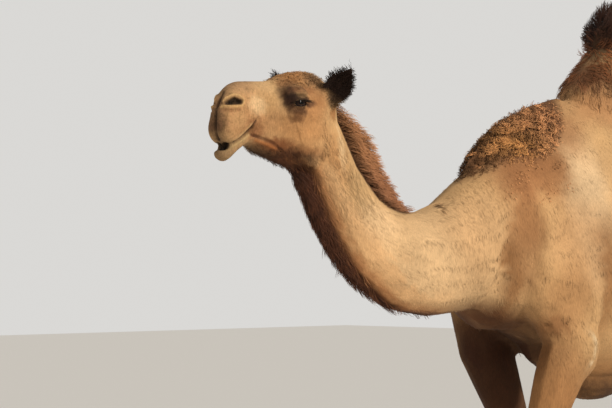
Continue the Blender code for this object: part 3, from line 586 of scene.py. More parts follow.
# (centre, radii, colour, strength), laid one over the other; most give the coat's own colour, and the ones
# noted below are painted shade or painted highlight
MARKS_WITH_PAINTED_LIGHT = (
    ((1.90, 0, 1.50), (1.10, 0.5, 0.42), (190, 146, 98), 0.6),
    ((1.95, 0, 1.02), (0.80, 0.4, 0.14), (156, 108, 64), 0.85),
    ((2.70, 0.10, 1.45), (0.22, 0.30, 0.30), (186, 140, 96), 0.7),
    ((0.90, 0.08, 1.46), (0.30, 0.14, 0.20), (210, 174, 130), 0.8),
    ((1.04, 0.13, 1.56), (0.12, 0.12, 0.16), (200, 158, 112), 0.8),
    ((1.50, 0.20, 1.70), (0.10, 0.16, 0.28), (218, 186, 145), 0.75),
    ((1.47, 0.12, 1.93), (0.10, 0.13, 0.11), (164, 113, 72), 0.8),
    ((1.22, 0.16, 1.62), (0.060, 0.10, 0.20), (146, 97, 58), 0.8),
    ((1.27, 0.13, 1.79), (0.15, 0.12, 0.10), (154, 102, 64), 0.8),
    ((1.35, 0.15, 1.75), (0.09, 0.12, 0.09), (156, 106, 66), 0.75),
    ((1.42, 0.22, 1.52), (0.12, 0.14, 0.14), (190, 146, 102), 0.7),
    ((1.34, 0.22, 1.33), (0.12, 0.14, 0.11), (160, 116, 74), 0.75),
    # painted shade: darker over the folds under the chest, between the forelegs
    ((1.24, 0.05, 1.22), (0.15, 0.12, 0.075), (78, 44, 26), 0.92),
    ((1.13, 0.07, 1.285), (0.10, 0.11, 0.045), (80, 44, 24), 0.9),
    ((1.38, 0.02, 1.15), (0.16, 0.12, 0.070), (56, 30, 19), 0.92),
    ((1.30, 0.155, 1.14), (0.05, 0.035, 0.075), (60, 33, 20), 0.85),
    # painted shadow: a brown band in the crease behind the shoulder
    ((1.56, 0.25, 1.42), (0.050, 0.12, 0.18), (136, 92, 54), 0.85),
    ((1.165, 0.16, 1.42), (0.035, 0.10, 0.13), (142, 97, 58), 0.85),
    ((0.60, 0.085, 1.585), (0.10, 0.05, 0.07), (226, 188, 142), 0.7),
    ((1.30, 0.22, 1.25), (0.05, 0.08, 0.03), (126, 84, 52), 0.7),
    ((0.84, 0, 1.290), (0.30, 0.055, 0.034), (104, 64, 38), 0.9),
    ((0.33, 0, 1.76), (0.060, 0.055, 0.035), (66, 38, 24), 0.85),
    ((0.29, 0.07, 1.784), (0.090, 0.06, 0.032), (120, 72, 40), 0.85),
    ((0.28, 0.08, 1.865), (0.115, 0.06, 0.062), (180, 128, 80), 0.85),
    ((0.32, 0.08, 1.930), (0.060, 0.04, 0.035), (180, 126, 79), 0.75),
    ((0.09, 0.04, 1.885), (0.110, 0.06, 0.080), (168, 121, 78), 0.85),
    ((0.045, 0.05, 1.885), (0.030, 0.03, 0.026), (192, 150, 102), 0.5),
    ((0.075, 0.00, 1.990), (0.065, 0.05, 0.036), (140, 107, 78), 0.75),
    ((0.155, 0.02, 1.998), (0.032, 0.05, 0.028), (204, 164, 118), 0.5),
    ((0.15, 0.055, 1.935), (0.045, 0.03, 0.030), (194, 150, 98), 0.6),
    # darker down the front of the muzzle: partly its own colour, partly painted shade
    ((0.008, 0, 1.90), (0.032, 0.030, 0.085), (92, 64, 45), 0.75),
    # painted shade: the underside of the jaw darkened as if turned away from the light
    ((0.20, 0.0, 1.768), (0.135, 0.070, 0.062), (50, 25, 14), 0.95),
    ((0.20, 0.045, 1.814), (0.070, 0.04, 0.020), (116, 66, 35), 0.85),
    # painted shade: more darkening under the rear of the jaw
    ((0.28, 0.03, 1.775), (0.070, 0.05, 0.028), (66, 33, 17), 0.9),
    ((0.020, 0, 1.785), (0.060, 0.05, 0.024), (140, 110, 78), 0.85),
    ((0.070, 0.03, 1.818), (0.045, 0.04, 0.018), (160, 126, 86), 0.7),
    ((0.300, 0.03, 2.020), (0.075, 0.07, 0.035), (166, 110, 62), 0.8),
    ((0.345, 0.05, 2.010), (0.045, 0.05, 0.030), (206, 156, 108), 0.7),
    ((0.340, 0.080, 1.962), (0.040, 0.035, 0.032), (160, 110, 68), 0.75),
    ((0.238, 0.080, 1.982), (0.022, 0.030, 0.012), (94, 61, 39), 0.8),
    ((0.402, 0.095, 1.957), (0.021, 0.030, 0.028), (50, 33, 25), 0.93),
    ((0.418, 0.080, 1.915), (0.020, 0.030, 0.020), (150, 98, 56), 0.75),
    ((0.125, 0.035, 1.850), (0.028, 0.030, 0.028), (122, 76, 45), 0.65),
    ((0.240, 0.050, 1.998), (0.036, 0.030, 0.020), (126, 84, 52), 0.8),
    ((0.298, 0.078, 1.984), (0.034, 0.030, 0.014), (136, 90, 56), 0.75),
    ((0.222, 0.072, 1.968), (0.027, 0.034, 0.026), (66, 41, 28), 0.92),
    ((0.230, 0.078, 1.952), (0.027, 0.028, 0.016), (38, 23, 18), 0.97),
    ((0.268, 0.092, 1.951), (0.034, 0.024, 0.008), (46, 29, 22), 0.92),
    ((0.229, 0.072, 1.936), (0.021, 0.028, 0.016), (54, 33, 22), 0.92),
    ((0.305, 0.084, 1.938), (0.024, 0.022, 0.011), (98, 64, 44), 0.85),
    ((0.258, 0.088, 1.917), (0.034, 0.026, 0.014), (84, 53, 35), 0.88),
    ((0.259, 0.078, 1.896), (0.021, 0.022, 0.014), (104, 66, 39), 0.8),
    ((0.42, 0.07, 1.76), (0.055, 0.06, 0.09), (184, 130, 80), 0.7),
    ((0.010, 0.022, 1.866), (0.026, 0.020, 0.026), (84, 58, 40), 0.7),
    ((0.266, 0.092, 1.979), (0.030, 0.030, 0.015), (122, 78, 48), 0.65),
    ((0.120, 0.048, 1.930), (0.034, 0.030, 0.028), (228, 192, 144), 0.65),
    ((0.100, 0.045, 1.878), (0.020, 0.030, 0.012), (124, 80, 50), 0.55),
    # painted highlight: a pale strip down the ridge of the neck cord
    ((0.455, 0.078, 1.840), (0.014, 0.020, 0.085), (226, 190, 142), 0.75),
    ((1.74, 0.10, 1.99), (0.18, 0.20, 0.060), (176, 124, 82), 0.7),
    ((1.745, 0, 1.03), (0.170, 0.13, 0.055), (58, 38, 28), 0.95),
    ((2.02, 0, 2.08), (0.44, 0.26, 0.075), (116, 68, 40), 0.8),
    ((1.70, 0.03, 2.10), (0.10, 0.12, 0.06), (96, 57, 37), 0.8),
    ((2.06, 0, 2.29), (0.36, 0.21, 0.165), (60, 36, 26), 0.9),
    ((2.95, 0, 1.20), (0.10, 0.08, 0.30), (112, 74, 48), 0.6),
)
LEG_MARKS_WITH_SHADE = {
    "foreleg_left": ((1.31, 0.20, 1.03), (0.14, 0.16, 0.20), (146, 100, 60), 0.8),
    # painted shadow: the far foreleg darkened as if the body's shadow lay on it
    "foreleg_right": ((1.38, 0.13, 1.00), (0.26, 0.18, 0.36), (60, 33, 21), 0.95),
}
# how the throat's brown pales to either side: how far out, colour
THROAT = (
    (0.0, (66, 36, 22)), (0.020, (106, 64, 38)), (0.034, (148, 98, 60)),
    (0.052, (176, 126, 82)), (0.068, (208, 163, 114)), (0.090, (210, 166, 118)),
)
# lines of colour that follow a fold: (fold, half width, colour, strength); the dark lines in the nostrils,
# the mouth, the lip hollow, the cleft, the nose groove, the jaw fold and the folds under the nostril, behind
# the mouth and above the lid are painted shade
FOLD_LINES_WITH_SHADE = (
    ("nostril wing", 0.0048, (214, 172, 116), 0.85), ("nostril sill", 0.0052, (212, 170, 112), 0.9),
    # painted shade: the nostril slits darkened to near black
    ("nostril", 0.0050, (14, 10, 9), 1.0), ("nostril corner", 0.0050, (14, 10, 9), 1.0),
    # painted shade: darker in the fold under the nostril, the nose groove and the cleft
    ("fold under the nostril", 0.0050, (120, 82, 52), 0.6), ("nose groove", 0.005, (52, 34, 25), 0.85),
    ("cleft", 0.0052, (40, 25, 19), 0.95),
    # painted shade: a dark line in the jaw fold
    ("jaw fold", 0.0036, (64, 34, 20), 0.95), ("jaw roll", 0.0055, (168, 104, 56), 0.7),
    # painted shade: darker in the fold behind the mouth and the groove above the lid
    ("fold behind the mouth", 0.005, (112, 70, 42), 0.6), ("groove above the lid", 0.005, (52, 34, 25), 0.7),
    ("tear groove", 0.006, (80, 50, 32), 0.45), ("corner of the mouth", 0.005, (142, 98, 62), 0.5),
    ("lip edge", 0.006, (206, 168, 118), 0.65), ("lower lip rim", 0.006, (196, 164, 114), 0.75),
    # painted shade: the mouth line and the lip hollow darkened as openings in shade
    ("mouth", 0.0046, (30, 18, 14), 1.0), ("lip hollow", 0.0120, (10, 7, 6), 1.0),
    # painted shade: the inside of the nostril painted near black
    ("inside the nostril", 0.0090, (6, 5, 5), 1.0),
)


def blotches(places):
    """Small shifts of place, so that no marking has an even edge."""
    spots = list(map(Vector, places))
    fine = np.array([noise_vector(spot * 62.0) + noise_vector(spot * 170.0) * 0.6 for spot in spots])
    coarse = np.array([noise_vector(spot * 9.0) for spot in spots])
    reach = 0.0070 + 0.008 * ease(places[:, 0], 0.42, 0.70)[:, None]
    return fine * reach + coarse * (0.030 * ease(places[:, 0], 0.60, 1.00))[:, None]


def neck_share(places):
    """How far each place is from the neck's middle line, and how far of that is towards the nape."""
    best = np.full(len(places), 1e9)
    back = np.zeros(len(places))
    for start, end in zip(NECK_LINE, NECK_LINE[1:]):
        step = end - start
        share = np.clip(((places[:, (0, 2)] - start) @ step) / (step @ step), 0, 1)
        gap = places[:, (0, 2)] - start - share[:, None] * step
        length = np.linalg.norm(gap, axis=1)
        up = gap @ np.array((-step[1], step[0])) / np.linalg.norm(step)
        closer = length < best
        best[closer] = length[closer]
        back[closer] = up[closer]
    return best, back


def marked(colours, places, mark, where=1.0):
    centre, radii, colour, strength = mark
    reach = (((places - centre) / radii) ** 2).sum(1)
    return laid_over(colours, colour, strength * np.exp(-(reach**2) * 0.7) * where)


def throat_tone(colours, places):
    """Lays the throat's brown over the front of the neck, paler to either side."""
    gap, back = neck_share(places)
    front = ease(-back, 0.0, 0.05) * (1 - ease(places[:, 0], 0.70, 1.05))
    front = front * (1 - ease(places[:, 2], 1.735, 1.80)) * (gap < 0.25)
    outs, tones = zip(*THROAT)
    ramp = np.column_stack([np.interp(places[:, 1], outs, channel) for channel in zip(*tones)])
    return laid_over(colours, ramp, front * (places[:, 1] < 0.09))


def mottled(colours, places):
    """Flecks over the face, stronger and rosier on the muzzle."""
    muzzle = about(places, (0.070, 0.035, 1.905), (0.125, 0.075, 0.095))
    specks = noise_at(places, 210.0, 0) + 0.7 * noise_at(places, 70.0, 1)
    tone = (1 + 0.42 * specks * (0.30 + 0.70 * muzzle))[:, None]
    rosy = 0.30 * muzzle * ease(specks, -0.1, 0.5)
    return laid_over(colours * tone, (150, 104, 78), rosy)


def coat_colours(places, side):
    """The colour of the coat at each place, with painted shade in creases, openings and shadowed parts and
    painted highlights on a few ridges; side is -1 on the left and 1 on the right.
    """
    colours = np.tile(linear(SAND), (len(places), 1))
    shifted = places + blotches(places)
    for mark in MARKS_WITH_PAINTED_LIGHT:
        colours = marked(colours, shifted, mark)
    colours = throat_tone(colours, shifted)
    for leg, mark in LEG_MARKS_WITH_SHADE.items():
        colours = marked(colours, shifted, mark, side < 0 if leg.endswith("left") else side > 0)
    colours = laid_over(colours, (186, 140, 98), ease(-places[:, 2], -0.95, -0.30) * 0.35)
    colours = laid_over(colours, (40, 26, 20), ear_share(places))
    head = places[:, 0] < HEAD_END
    colours[head] = mottled(colours[head], places[head])
    # the fold lines: the dark ones are painted shade in the face's creases and openings
    for name, width, colour, strength in FOLD_LINES_WITH_SHADE:
        gap = distance_to(places[head], FACE_FOLDS[name][0])[0]
        colours[head] = laid_over(colours[head], colour, strength * np.exp(-((gap / width) ** 2)))
    # painted highlight: a pale line along the rim of the elbow pad, as if its edge caught the light
    gap = distance_to(places, BODY_FOLDS["elbow pad rim"][0])[0]
    return laid_over(colours, (226, 200, 160), 0.8 * np.exp(-((gap / 0.006) ** 2)))


EAR_ROOT = np.array((0.396, 0.074, 1.962))
EAR_TURN = Euler([math.radians(angle) for angle in (-46, 4, 40)], "ZYX")
EAR_AXIS = unit(np.array(EAR_TURN.to_matrix() @ Vector((0, 0, 1))))


def ear_share(places):
    """1 on the ears, 0 on the head."""
    along = (places - EAR_ROOT) @ EAR_AXIS
    away = np.linalg.norm(places - EAR_ROOT, axis=1)
    return ease(along, 0.010, 0.030) * (away < 0.16) * (places[:, 1] > 0.03)


# ---------------------------------------------------------------- which way the coat lies
LIE = (
    ((0.00, 0.02, 1.94), (0.3, 0.5, -0.8)), ((0.00, 0.02, 1.86), (0.3, 0.2, -1.0)),
    ((0.08, 0.05, 1.88), (0.8, 0, -0.6)), ((0.08, 0.0, 1.99), (1, 0.1, 0.1)),
    ((0.16, 0.05, 1.96), (1, 0.1, -0.1)), ((0.20, 0.06, 1.88), (0.9, 0, -0.5)),
    ((0.24, 0.07, 1.99), (0.9, 0.3, 0.3)), ((0.32, 0.0, 2.03), (1, 0.2, 0.0)),
    ((0.30, 0.08, 1.86), (0.5, 0, -0.9)), ((0.34, 0.085, 1.93), (0.8, 0, -0.5)),
    ((0.20, 0.0, 1.76), (1, 0.1, -0.3)), ((0.03, 0.02, 1.78), (0.5, 0, -0.6)),
    ((0.42, 0.05, 1.99), (0.6, 0.2, -0.8)),
    ((0.80, 0.10, 1.47), (0.35, 0, -0.95)), ((0.95, 0.12, 1.47), (0.2, 0, -1.0)),
    ((1.10, 0.14, 1.50), (0.2, 0, -1.0)), ((1.25, 0.18, 1.60), (0.25, 0, -1.0)),
    ((1.30, 0.16, 1.85), (0.5, 0.2, -0.8)), ((1.45, 0.24, 1.45), (0.35, 0, -1.0)),
    ((1.25, 0.0, 1.20), (0.7, 0.3, -0.5)), ((1.80, 0.29, 1.50), (0.7, 0, -0.75)),
    ((1.80, 0.15, 1.08), (1, 0.2, -0.1)), ((2.30, 0.15, 1.20), (1, 0, 0.2)),
    ((1.80, 0.12, 1.95), (0.4, 0.2, -0.9)), ((2.05, 0.15, 2.05), (0.4, 0.1, -0.95)),
    ((2.05, 0.0, 2.29), (0.9, 0, 0.3)), ((2.30, 0.28, 1.60), (0.6, 0, -0.8)),
    ((2.40, 0.05, 1.95), (0.9, 0.3, -0.5)), ((2.60, 0.18, 1.60), (0.4, 0, -0.9)),
    ((2.78, 0.05, 1.74), (0.5, 0.3, -0.9)), ((2.80, 0.10, 1.50), (0.2, 0, -1.0)),
    ((1.30, 0.17, 0.95), (-0.2, 0, -1.0)), ((1.10, 0.12, 0.40), (0.1, 0, -1.0)),
    ((1.50, 0.15, 0.90), (0.3, 0, -1.0)), ((1.75, 0.12, 0.40), (0.1, 0, -1.0)),
    ((2.60, 0.14, 0.90), (0.4, 0, -1.0)), ((2.55, 0.12, 0.40), (0.1, 0, -1.0)),
    ((2.88, 0.12, 0.40), (0.1, 0, -1.0)), ((1.00, 0.12, 0.08), (-0.5, 0, -0.8)),
    ((1.72, 0.12, 0.08), (-0.5, 0, -0.8)), ((2.47, 0.12, 0.08), (-0.5, 0, -0.8)),
    ((2.87, 0.12, 0.08), (-0.5, 0, -0.8)), ((2.95, 0.02, 1.30), (0, 0, -1.0)),
)


def lie_of(places, side, normals):
    """The way the hairs lie at each place, along the skin."""
    spots = [spot for spot, way in LIE]
    ways = [way for spot, way in LIE]
    for start, end in zip(NECK_LINE[:7], NECK_LINE[1:8]):
        middle, way = (start + end) / 2, end - start
        spots.append((middle[0], 0.06, middle[1]))
        ways.append((way[0], 0, way[1]))
    total = np.zeros_like(places)
    for spot, way in zip(np.array(spots), unit(np.array(ways, float))):
        reach = ((places - spot) ** 2).sum(1)
        total += way / (reach + 0.0008)[:, None] ** 1.5
    total = unit(total)
    total[:, 1] *= side
    return unit(total - normals * (total * normals).sum(1, keepdims=True))


# ---------------------------------------------------------------- hair, wool and locks
class Ground:
    """The skin cut in triangles, for hairs to be rooted on."""

    def __init__(self, thing):
        mesh = thing.data
        mesh.calc_loop_triangles()
        count = len(mesh.loop_triangles)
        corners = np.empty(count * 3, np.int32)
        loops = np.empty(count * 3, np.int32)
        mesh.loop_triangles.foreach_get("vertices", corners)
        mesh.loop_triangles.foreach_get("loops", loops)
        flat = np.empty(len(mesh.loops) * 2, np.float32)
        mesh.uv_layers[0].data.foreach_get("uv", flat)
        self.corners = corners.reshape(-1, 3)
        self.points = places_of(mesh)
        self.normals = normals_of(mesh)
        self.unwrapped = flat.reshape(-1, 2)[loops].reshape(-1, 3, 2)
        a, b, c = (self.points[self.corners[:, k]] for k in range(3))
        self.areas = np.linalg.norm(np.cross(b - a, c - a), axis=1) / 2
        self.centres = centres = (a + b + c) / 3
        self.side = side_of(centres)
        self.places = told(centres)
        self.facing = unit(self.normals[self.corners].sum(1))
        tint = np.empty(len(mesh.vertices) * 4, np.float32)
        mesh.color_attributes["Coat"].data.foreach_get("color", tint)
        self.tint = tint.reshape(-1, 4)[:, :3].astype(float)

    def roots(self, density, draw):
        """Random roots, so many to the square metre, as density says for each triangle."""
        wanted = self.areas * density
        counts = np.floor(wanted + draw.random(len(wanted))).astype(int)
        chosen = np.repeat(np.arange(len(wanted)), counts)
        share = draw.random((len(chosen), 2))
        over = share.sum(1) > 1
        share[over] = 1 - share[over]
        weights = np.column_stack((1 - share.sum(1), share))[:, :, None]
        trio = self.corners[chosen]
        root = (self.points[trio] * weights).sum(1)
        normal = unit((self.normals[trio] * weights).sum(1))
        spot = (self.unwrapped[chosen] * weights).sum(1)
        tint = (self.tint[trio] * weights).sum(1)
        return root, normal, spot, tint


def each(value, count):
    """One value for each tuft, from one for all or from an array."""
    return np.broadcast_to(np.asarray(value, float), (count,))


def tuft_faces(rings):
    """The triangles of one closed tuft: rings of three corners, then a tip."""
    faces = [(0, 2, 1)]
    for k in range(rings - 1):
        for corner in range(3):
            a, b = k * 3 + corner, k * 3 + (corner + 1) % 3
            faces += [(a, b + 3, a + 3), (a, b, b + 3)]
    last = (rings - 1) * 3
    faces += [(last + corner, last + (corner + 1) % 3, rings * 3) for corner in range(3)]
    return np.array(faces)


# the radius of each tuft's patch on its map, the lightest a tuft may be, and the tone of pale tips
PATCH = 0.0014
BRIGHTEST = 0.8
TIP_TONE = (222, 190, 150)
# how near the floor a tuft may come
FLOOR_GAP = 0.0006


class Tufts:
    """Closed tapered tufts of hair, each rooted on the skin."""

    def __init__(self, name, density, seed, rings=3):
        self.name, self.rings = name, rings
        self.draw = np.random.default_rng(seed)
        self.root, self.normal, self.spot, self.tint = ground.roots(density, self.draw)
        self.places = told(self.root)
        self.side = side_of(self.root)
        self.count = len(self.root)
        self.lie = lie_of(self.places, self.side, self.normal)

    def spread(self, low, high):
        return self.draw.uniform(low, high, self.count)

    def steer(self, way, share):
        """Turns the lie towards another way, given for the left and right sides alike."""
        way = np.array(way, float) * sided(self.side)
        self.lie = unit(self.lie * (1 - share) + unit(way) * share)

    def locks(self, many):
        """The tuft at the heart of each tuft's lock, with so many tufts to a lock."""
        heads = self.draw.choice(self.count, max(1, self.count // many), replace=False)
        nearest = np.zeros(self.count, int)
        best = np.full(self.count, 1e9)
        for head in heads:
            gap = ((self.root - self.root[head]) ** 2).sum(1)
            closer = gap < best
            best[closer], nearest[closer] = gap[closer], head
        return nearest

    def spines(self, length, lift, sag, curl, turns, stray, sink):
        """The middle line of every tuft, from root to tip."""
        count = self.count
        across = unit(np.cross(self.normal, self.lie))
        way = unit(self.lie + across * self.draw.normal(0, stray, count)[:, None])
        across = unit(np.cross(self.normal, way))
        rise = np.radians(lift)
        phase = self.draw.uniform(0, 2 * math.pi, count)
        turning = turns * 2 * math.pi * self.draw.choice((-1, 1), count)
        line = []
        for t in np.linspace(0, 1, self.rings + 1):
            bend = rise * (1 - 0.45 * t)
            forward = t * np.cos(bend)
            upward = t * np.sin(bend)
            loop = curl * min(1.0, 2.5 * t)
            sideways = loop * (np.cos(turning * t + phase) - np.cos(phase))
            loft = loop * (np.sin(turning * t + phase) - np.sin(phase))
            place = way * forward[:, None] + self.normal * (upward + np.abs(loft) * 0.6)[:, None]
            place += across * sideways[:, None] + way * (loft * 0.5)[:, None]
            place[:, 2] -= sag * t * t
            line.append(self.root - self.normal * sink + place * length[:, None])
        return np.array(line)

    def gather(self, line, length, hold, lock):
        """Draws the tufts of each lock together towards their tips; gives each tuft's lock."""
        heads = self.locks(lock)
        gap = np.linalg.norm(self.root - self.root[heads], axis=1)
        drawn = (hold * (1 - ease(gap, 0.6 * length, 1.2 * length)))[:, None]
        for k, t in enumerate(np.linspace(0, 1, self.rings + 1)):
            line[k] += (line[k][heads] - line[k]) * drawn * t**1.3
        return heads

    def rounded(self, line, width, flat, even):
        """The corners round each line, and the way each faces; even draws that way to the skin's own."""
        rings = self.rings
        vertices = np.empty((self.count, rings * 3 + 1, 3))
        facings = np.empty_like(vertices)
        for k, t in enumerate(np.linspace(0, 1, rings + 1)[:-1]):
            ahead = unit(line[k + 1] - line[k])
            wide = unit(np.cross(self.normal, ahead))
            thick = np.cross(ahead, wide)
            girth = width * (0.62 + 1.1 * t - 1.45 * t * t) / 2
            for corner, (u, v) in enumerate(((1.0, -0.4), (0.0, 1.0), (-1.0, -0.4))):
                at = k * 3 + corner
                vertices[:, at] = line[k] + wide * (girth * u)[:, None] + thick * (girth * flat * v)[:, None]
                facings[:, at] = self.normal * even + (wide * u + thick * max(v, 0.2)) * (1 - even)
        vertices[:, -1] = line[-1]
        facings[:, -1] = self.normal
        vertices[:, :, 2] = np.maximum(vertices[:, :, 2], FLOOR_GAP)
        return vertices, unit(facings)

    def painted(self, colours, shade, vary, tip):
        """A colour for each corner: each tuft its own tone, shaded from root to tip."""
        to_corners = [3] * self.rings + [1]
        tone = np.exp(self.draw.normal(0, vary, self.count))[:, None] * colours
        shades = np.repeat(np.linspace(shade[0], shade[1], self.rings + 1), to_corners)
        paints = tone[:, None, :] * shades[None, :, None]
        paints /= np.maximum(paints.max(-1, keepdims=True) / BRIGHTEST, 1)
        if tip:
            pale = np.repeat(np.linspace(0, 1, self.rings + 1) ** 2, to_corners)[None, :, None] * tip
            paints = paints * (1 - pale) + linear(TIP_TONE) * pale
        return paints

    def grow(self, length, width, lift, colours, sag=0.0, curl=0.0, turns=1.5, flat=0.45, stray=0.12,
             shade=(0.72, 1.12), tip=0.0, sink=0.0004, vary=0.13, lock=0, hold=0.6, motley=0.0, even=0.0):
        """Makes the tufts. Lift is the angle off the skin in degrees; curl is a share of the length."""
        count, corners = self.count, self.rings * 3 + 1
        length, width, lift, curl, sag = (each(value, count) for value in (length, width, lift, curl, sag))
        line = self.spines(length, lift, sag, curl, turns, stray, sink)
        if lock:
            heads = self.gather(line, length, hold, lock)
            colours = colours * np.exp(self.draw.normal(0, motley, count))[heads][:, None]
        vertices, facings = self.rounded(line, width, flat, even)
        paints = self.painted(colours, shade, vary, tip)
        faces = (tuft_faces(self.rings)[None] + (np.arange(count) * corners)[:, None, None]).reshape(-1, 3)
        around = np.linspace(0, 2 * math.pi, corners, endpoint=False)
        patch = np.column_stack((np.cos(around), np.sin(around))) * PATCH
        spots = np.clip(self.spot, 0.002, 0.998)[:, None] + patch
        vertices, paints, spots = vertices.reshape(-1, 3), paints.reshape(-1, 3), spots.reshape(-1, 2)
        thing = hairy_mesh(self.name, vertices, faces, paints, spots)
        if even:
            thing.data.normals_split_custom_set_from_vertices(facings.reshape(-1, 3))
        return thing


def hairy_mesh(name, vertices, faces, colours, spots):
    """All the tufts of a piece as one mesh, with each tuft's patch on the map named OFBake."""
    mesh = bpy.data.meshes.new(name)
    mesh.vertices.add(len(vertices))
    mesh.vertices.foreach_set("co", vertices.astype(np.float32).ravel())
    mesh.loops.add(len(faces) * 3)
    mesh.loops.foreach_set("vertex_index", faces.astype(np.int32).ravel())
    mesh.polygons.add(len(faces))
    mesh.polygons.foreach_set("loop_start", np.arange(0, len(faces) * 3, 3, dtype=np.int32))
    mesh.polygons.foreach_set("loop_total", np.full(len(faces), 3, np.int32))
    mesh.polygons.foreach_set("use_smooth", np.ones(len(faces), bool))
    mesh.update(calc_edges=True)
    paint(mesh, colours)
    layer = mesh.uv_layers.new(name="OFBake")
    layer.data.foreach_set("uv", spots[faces.ravel()].astype(np.float32).ravel())
    return new_thing(name, mesh)


def paint(mesh, colours):
    layer = mesh.color_attributes.new("Coat", "FLOAT_COLOR", "POINT")
    four = np.column_stack((np.clip(colours, 0, 1), np.ones(len(colours))))
    layer.data.foreach_set("color", four.astype(np.float32).ravel())


# ---------------------------------------------------------------- finishes
def node(tree, kind, **values):
    """A new node with its settings, or the values of its sockets, given by name."""
    made = tree.nodes.new(kind)
    for name, value in values.items():
        if hasattr(made, name):
            setattr(made, name, value)
        else:
            made.inputs[name.replace("_", " ")].default_value = value
    return made


def fleck_group():
    """Small changes of tone over a coat or hide, and the height of its grain."""
    tree = bpy.data.node_groups.new("coat fleck", "ShaderNodeTree")
    tree.interface.new_socket("Colour", in_out="INPUT", socket_type="NodeSocketColor")
    for name, default in (("Size", 90.0), ("Strength", 0.3)):
        socket = tree.interface.new_socket(name, in_out="INPUT", socket_type="NodeSocketFloat")
        socket.default_value = default
    tree.interface.new_socket("Colour", in_out="OUTPUT", socket_type="NodeSocketColor")
    tree.interface.new_socket("Height", in_out="OUTPUT", socket_type="NodeSocketFloat")
    inputs, outputs = tree.nodes.new("NodeGroupInput"), tree.nodes.new("NodeGroupOutput")
    place = tree.nodes.new("ShaderNodeTexCoord")
    link = tree.links.new
    drawn = node(tree, "ShaderNodeMapping")
    drawn.inputs["Scale"].default_value = (1.0, 1.0, 0.22)
    link(place.outputs["Object"], drawn.inputs["Vector"])
    fine = node(tree, "ShaderNodeTexNoise", Detail=4.0, Roughness=0.65)
    broad = node(tree, "ShaderNodeTexNoise", Scale=7.0, Detail=3.0, Roughness=0.55)
    link(drawn.outputs["Vector"], fine.inputs["Vector"])
    link(place.outputs["Object"], broad.inputs["Vector"])
    link(inputs.outputs["Size"], fine.inputs["Scale"])
    added = node(tree, "ShaderNodeMath", operation="ADD")
    link(fine.outputs["Fac"], added.inputs[0])
    link(broad.outputs["Fac"], added.inputs[1])
    spread = node(tree, "ShaderNodeMath", operation="SUBTRACT")
    link(added.outputs[0], spread.inputs[0])
    spread.inputs[1].default_value = 1.0
    scaled = node(tree, "ShaderNodeMath", operation="MULTIPLY")
    link(spread.outputs[0], scaled.inputs[0])
    link(inputs.outputs["Strength"], scaled.inputs[1])
    tone = node(tree, "ShaderNodeMath", operation="MULTIPLY_ADD")
    link(scaled.outputs[0], tone.inputs[0])
    tone.inputs[1].default_value = 2.0
    tone.inputs[2].default_value = 1.0
    shaded = node(tree, "ShaderNodeVectorMath", operation="SCALE")
    link(inputs.outputs["Colour"], shaded.inputs[0])
    link(tone.outputs[0], shaded.inputs["Scale"])
    link(shaded.outputs[0], outputs.inputs["Colour"])
    link(fine.outputs["Fac"], outputs.inputs["Height"])


def coat_finish(name, size, strength, roughness, bump, depth, sheen=0.0, specular=0.35):
    """A finish that takes its colour from the coat's own paint."""
    material = bpy.data.materials.new(name)
    material.use_nodes = True
    tree = material.node_tree
    surface = tree.nodes["Principled BSDF"]
    colour = node(tree, "ShaderNodeVertexColor", layer_name="Coat")
    fleck = tree.nodes.new("ShaderNodeGroup")
    fleck.node_tree = bpy.data.node_groups["coat fleck"]
    fleck.inputs["Size"].default_value = size
    fleck.inputs["Strength"].default_value = strength
    grain = node(tree, "ShaderNodeBump", Strength=bump, Distance=depth)
    tree.links.new(colour.outputs["Color"], fleck.inputs["Colour"])
    tree.links.new(fleck.outputs["Colour"], surface.inputs["Base Color"])
    tree.links.new(fleck.outputs["Height"], grain.inputs["Height"])
    tree.links.new(grain.outputs["Normal"], surface.inputs["Normal"])
    surface.inputs["Roughness"].default_value = roughness
    surface.inputs["Specular IOR Level"].default_value = specular
    surface.inputs["Sheen Weight"].default_value = sheen
    surface.inputs["Sheen Roughness"].default_value = 0.5
    surface.inputs["Sheen Tint"].default_value = (0.95, 0.80, 0.62, 1)
    return material


def settle(thing, finish, slot, *nodes):
    """Gives a piece its finish and hangs it on the body."""
    thing.data.materials.clear()
    thing.data.materials.append(finish)
    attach(thing, "root")
    if nodes:
        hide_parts(*nodes)


fleck_group()
HIDE = coat_finish("hide under the coat", 260.0, 0.42, 0.80, 0.60, 0.0015, sheen=0.03, specular=0.15)
SHORT_HAIR = coat_finish("short hair", 60.0, 0.16, 0.70, 0.15, 0.0004, sheen=0.03, specular=0.15)
LONG_HAIR = coat_finish("long hair", 60.0, 0.20, 0.60, 0.15, 0.0004, sheen=0.02, specular=0.18)
WOOL = coat_finish("curly wool", 90.0, 0.30, 0.80, 0.20, 0.0006, sheen=0.04, specular=0.12)
EYE_GLOSS = coat_finish("wet eye", 300.0, 0.25, 0.14, 0.0, 0.0001, specular=0.12)
EYE_GLOSS.node_tree.nodes["Principled BSDF"].inputs["Coat Weight"].default_value = 0.12
EYE_GLOSS.node_tree.nodes["Principled BSDF"].inputs["Coat Roughness"].default_value = 0.03
HORN = coat_finish("horn", 240.0, 0.35, 0.45, 0.25, 0.0006)


# ---------------------------------------------------------------- the skin
def coat_depth(places):
    """How far the skin lies under the tips of its coat."""
    depth = np.full(len(places), 0.0050)
    depth -= 0.0030 * ease(-places[:, 0], -0.42, -0.25)
    depth -= 0.0025 * ease(-places[:, 2], -0.90, -0.60)
    return depth


def unwrap(skin):
    pick(skin)
    bpy.ops.object.mode_set(mode="EDIT")
    bpy.ops.mesh.select_all(action="SELECT")
    bpy.ops.uv.smart_project(angle_limit=math.radians(66), island_margin=0.001)
    bpy.ops.object.mode_set(mode="OBJECT")


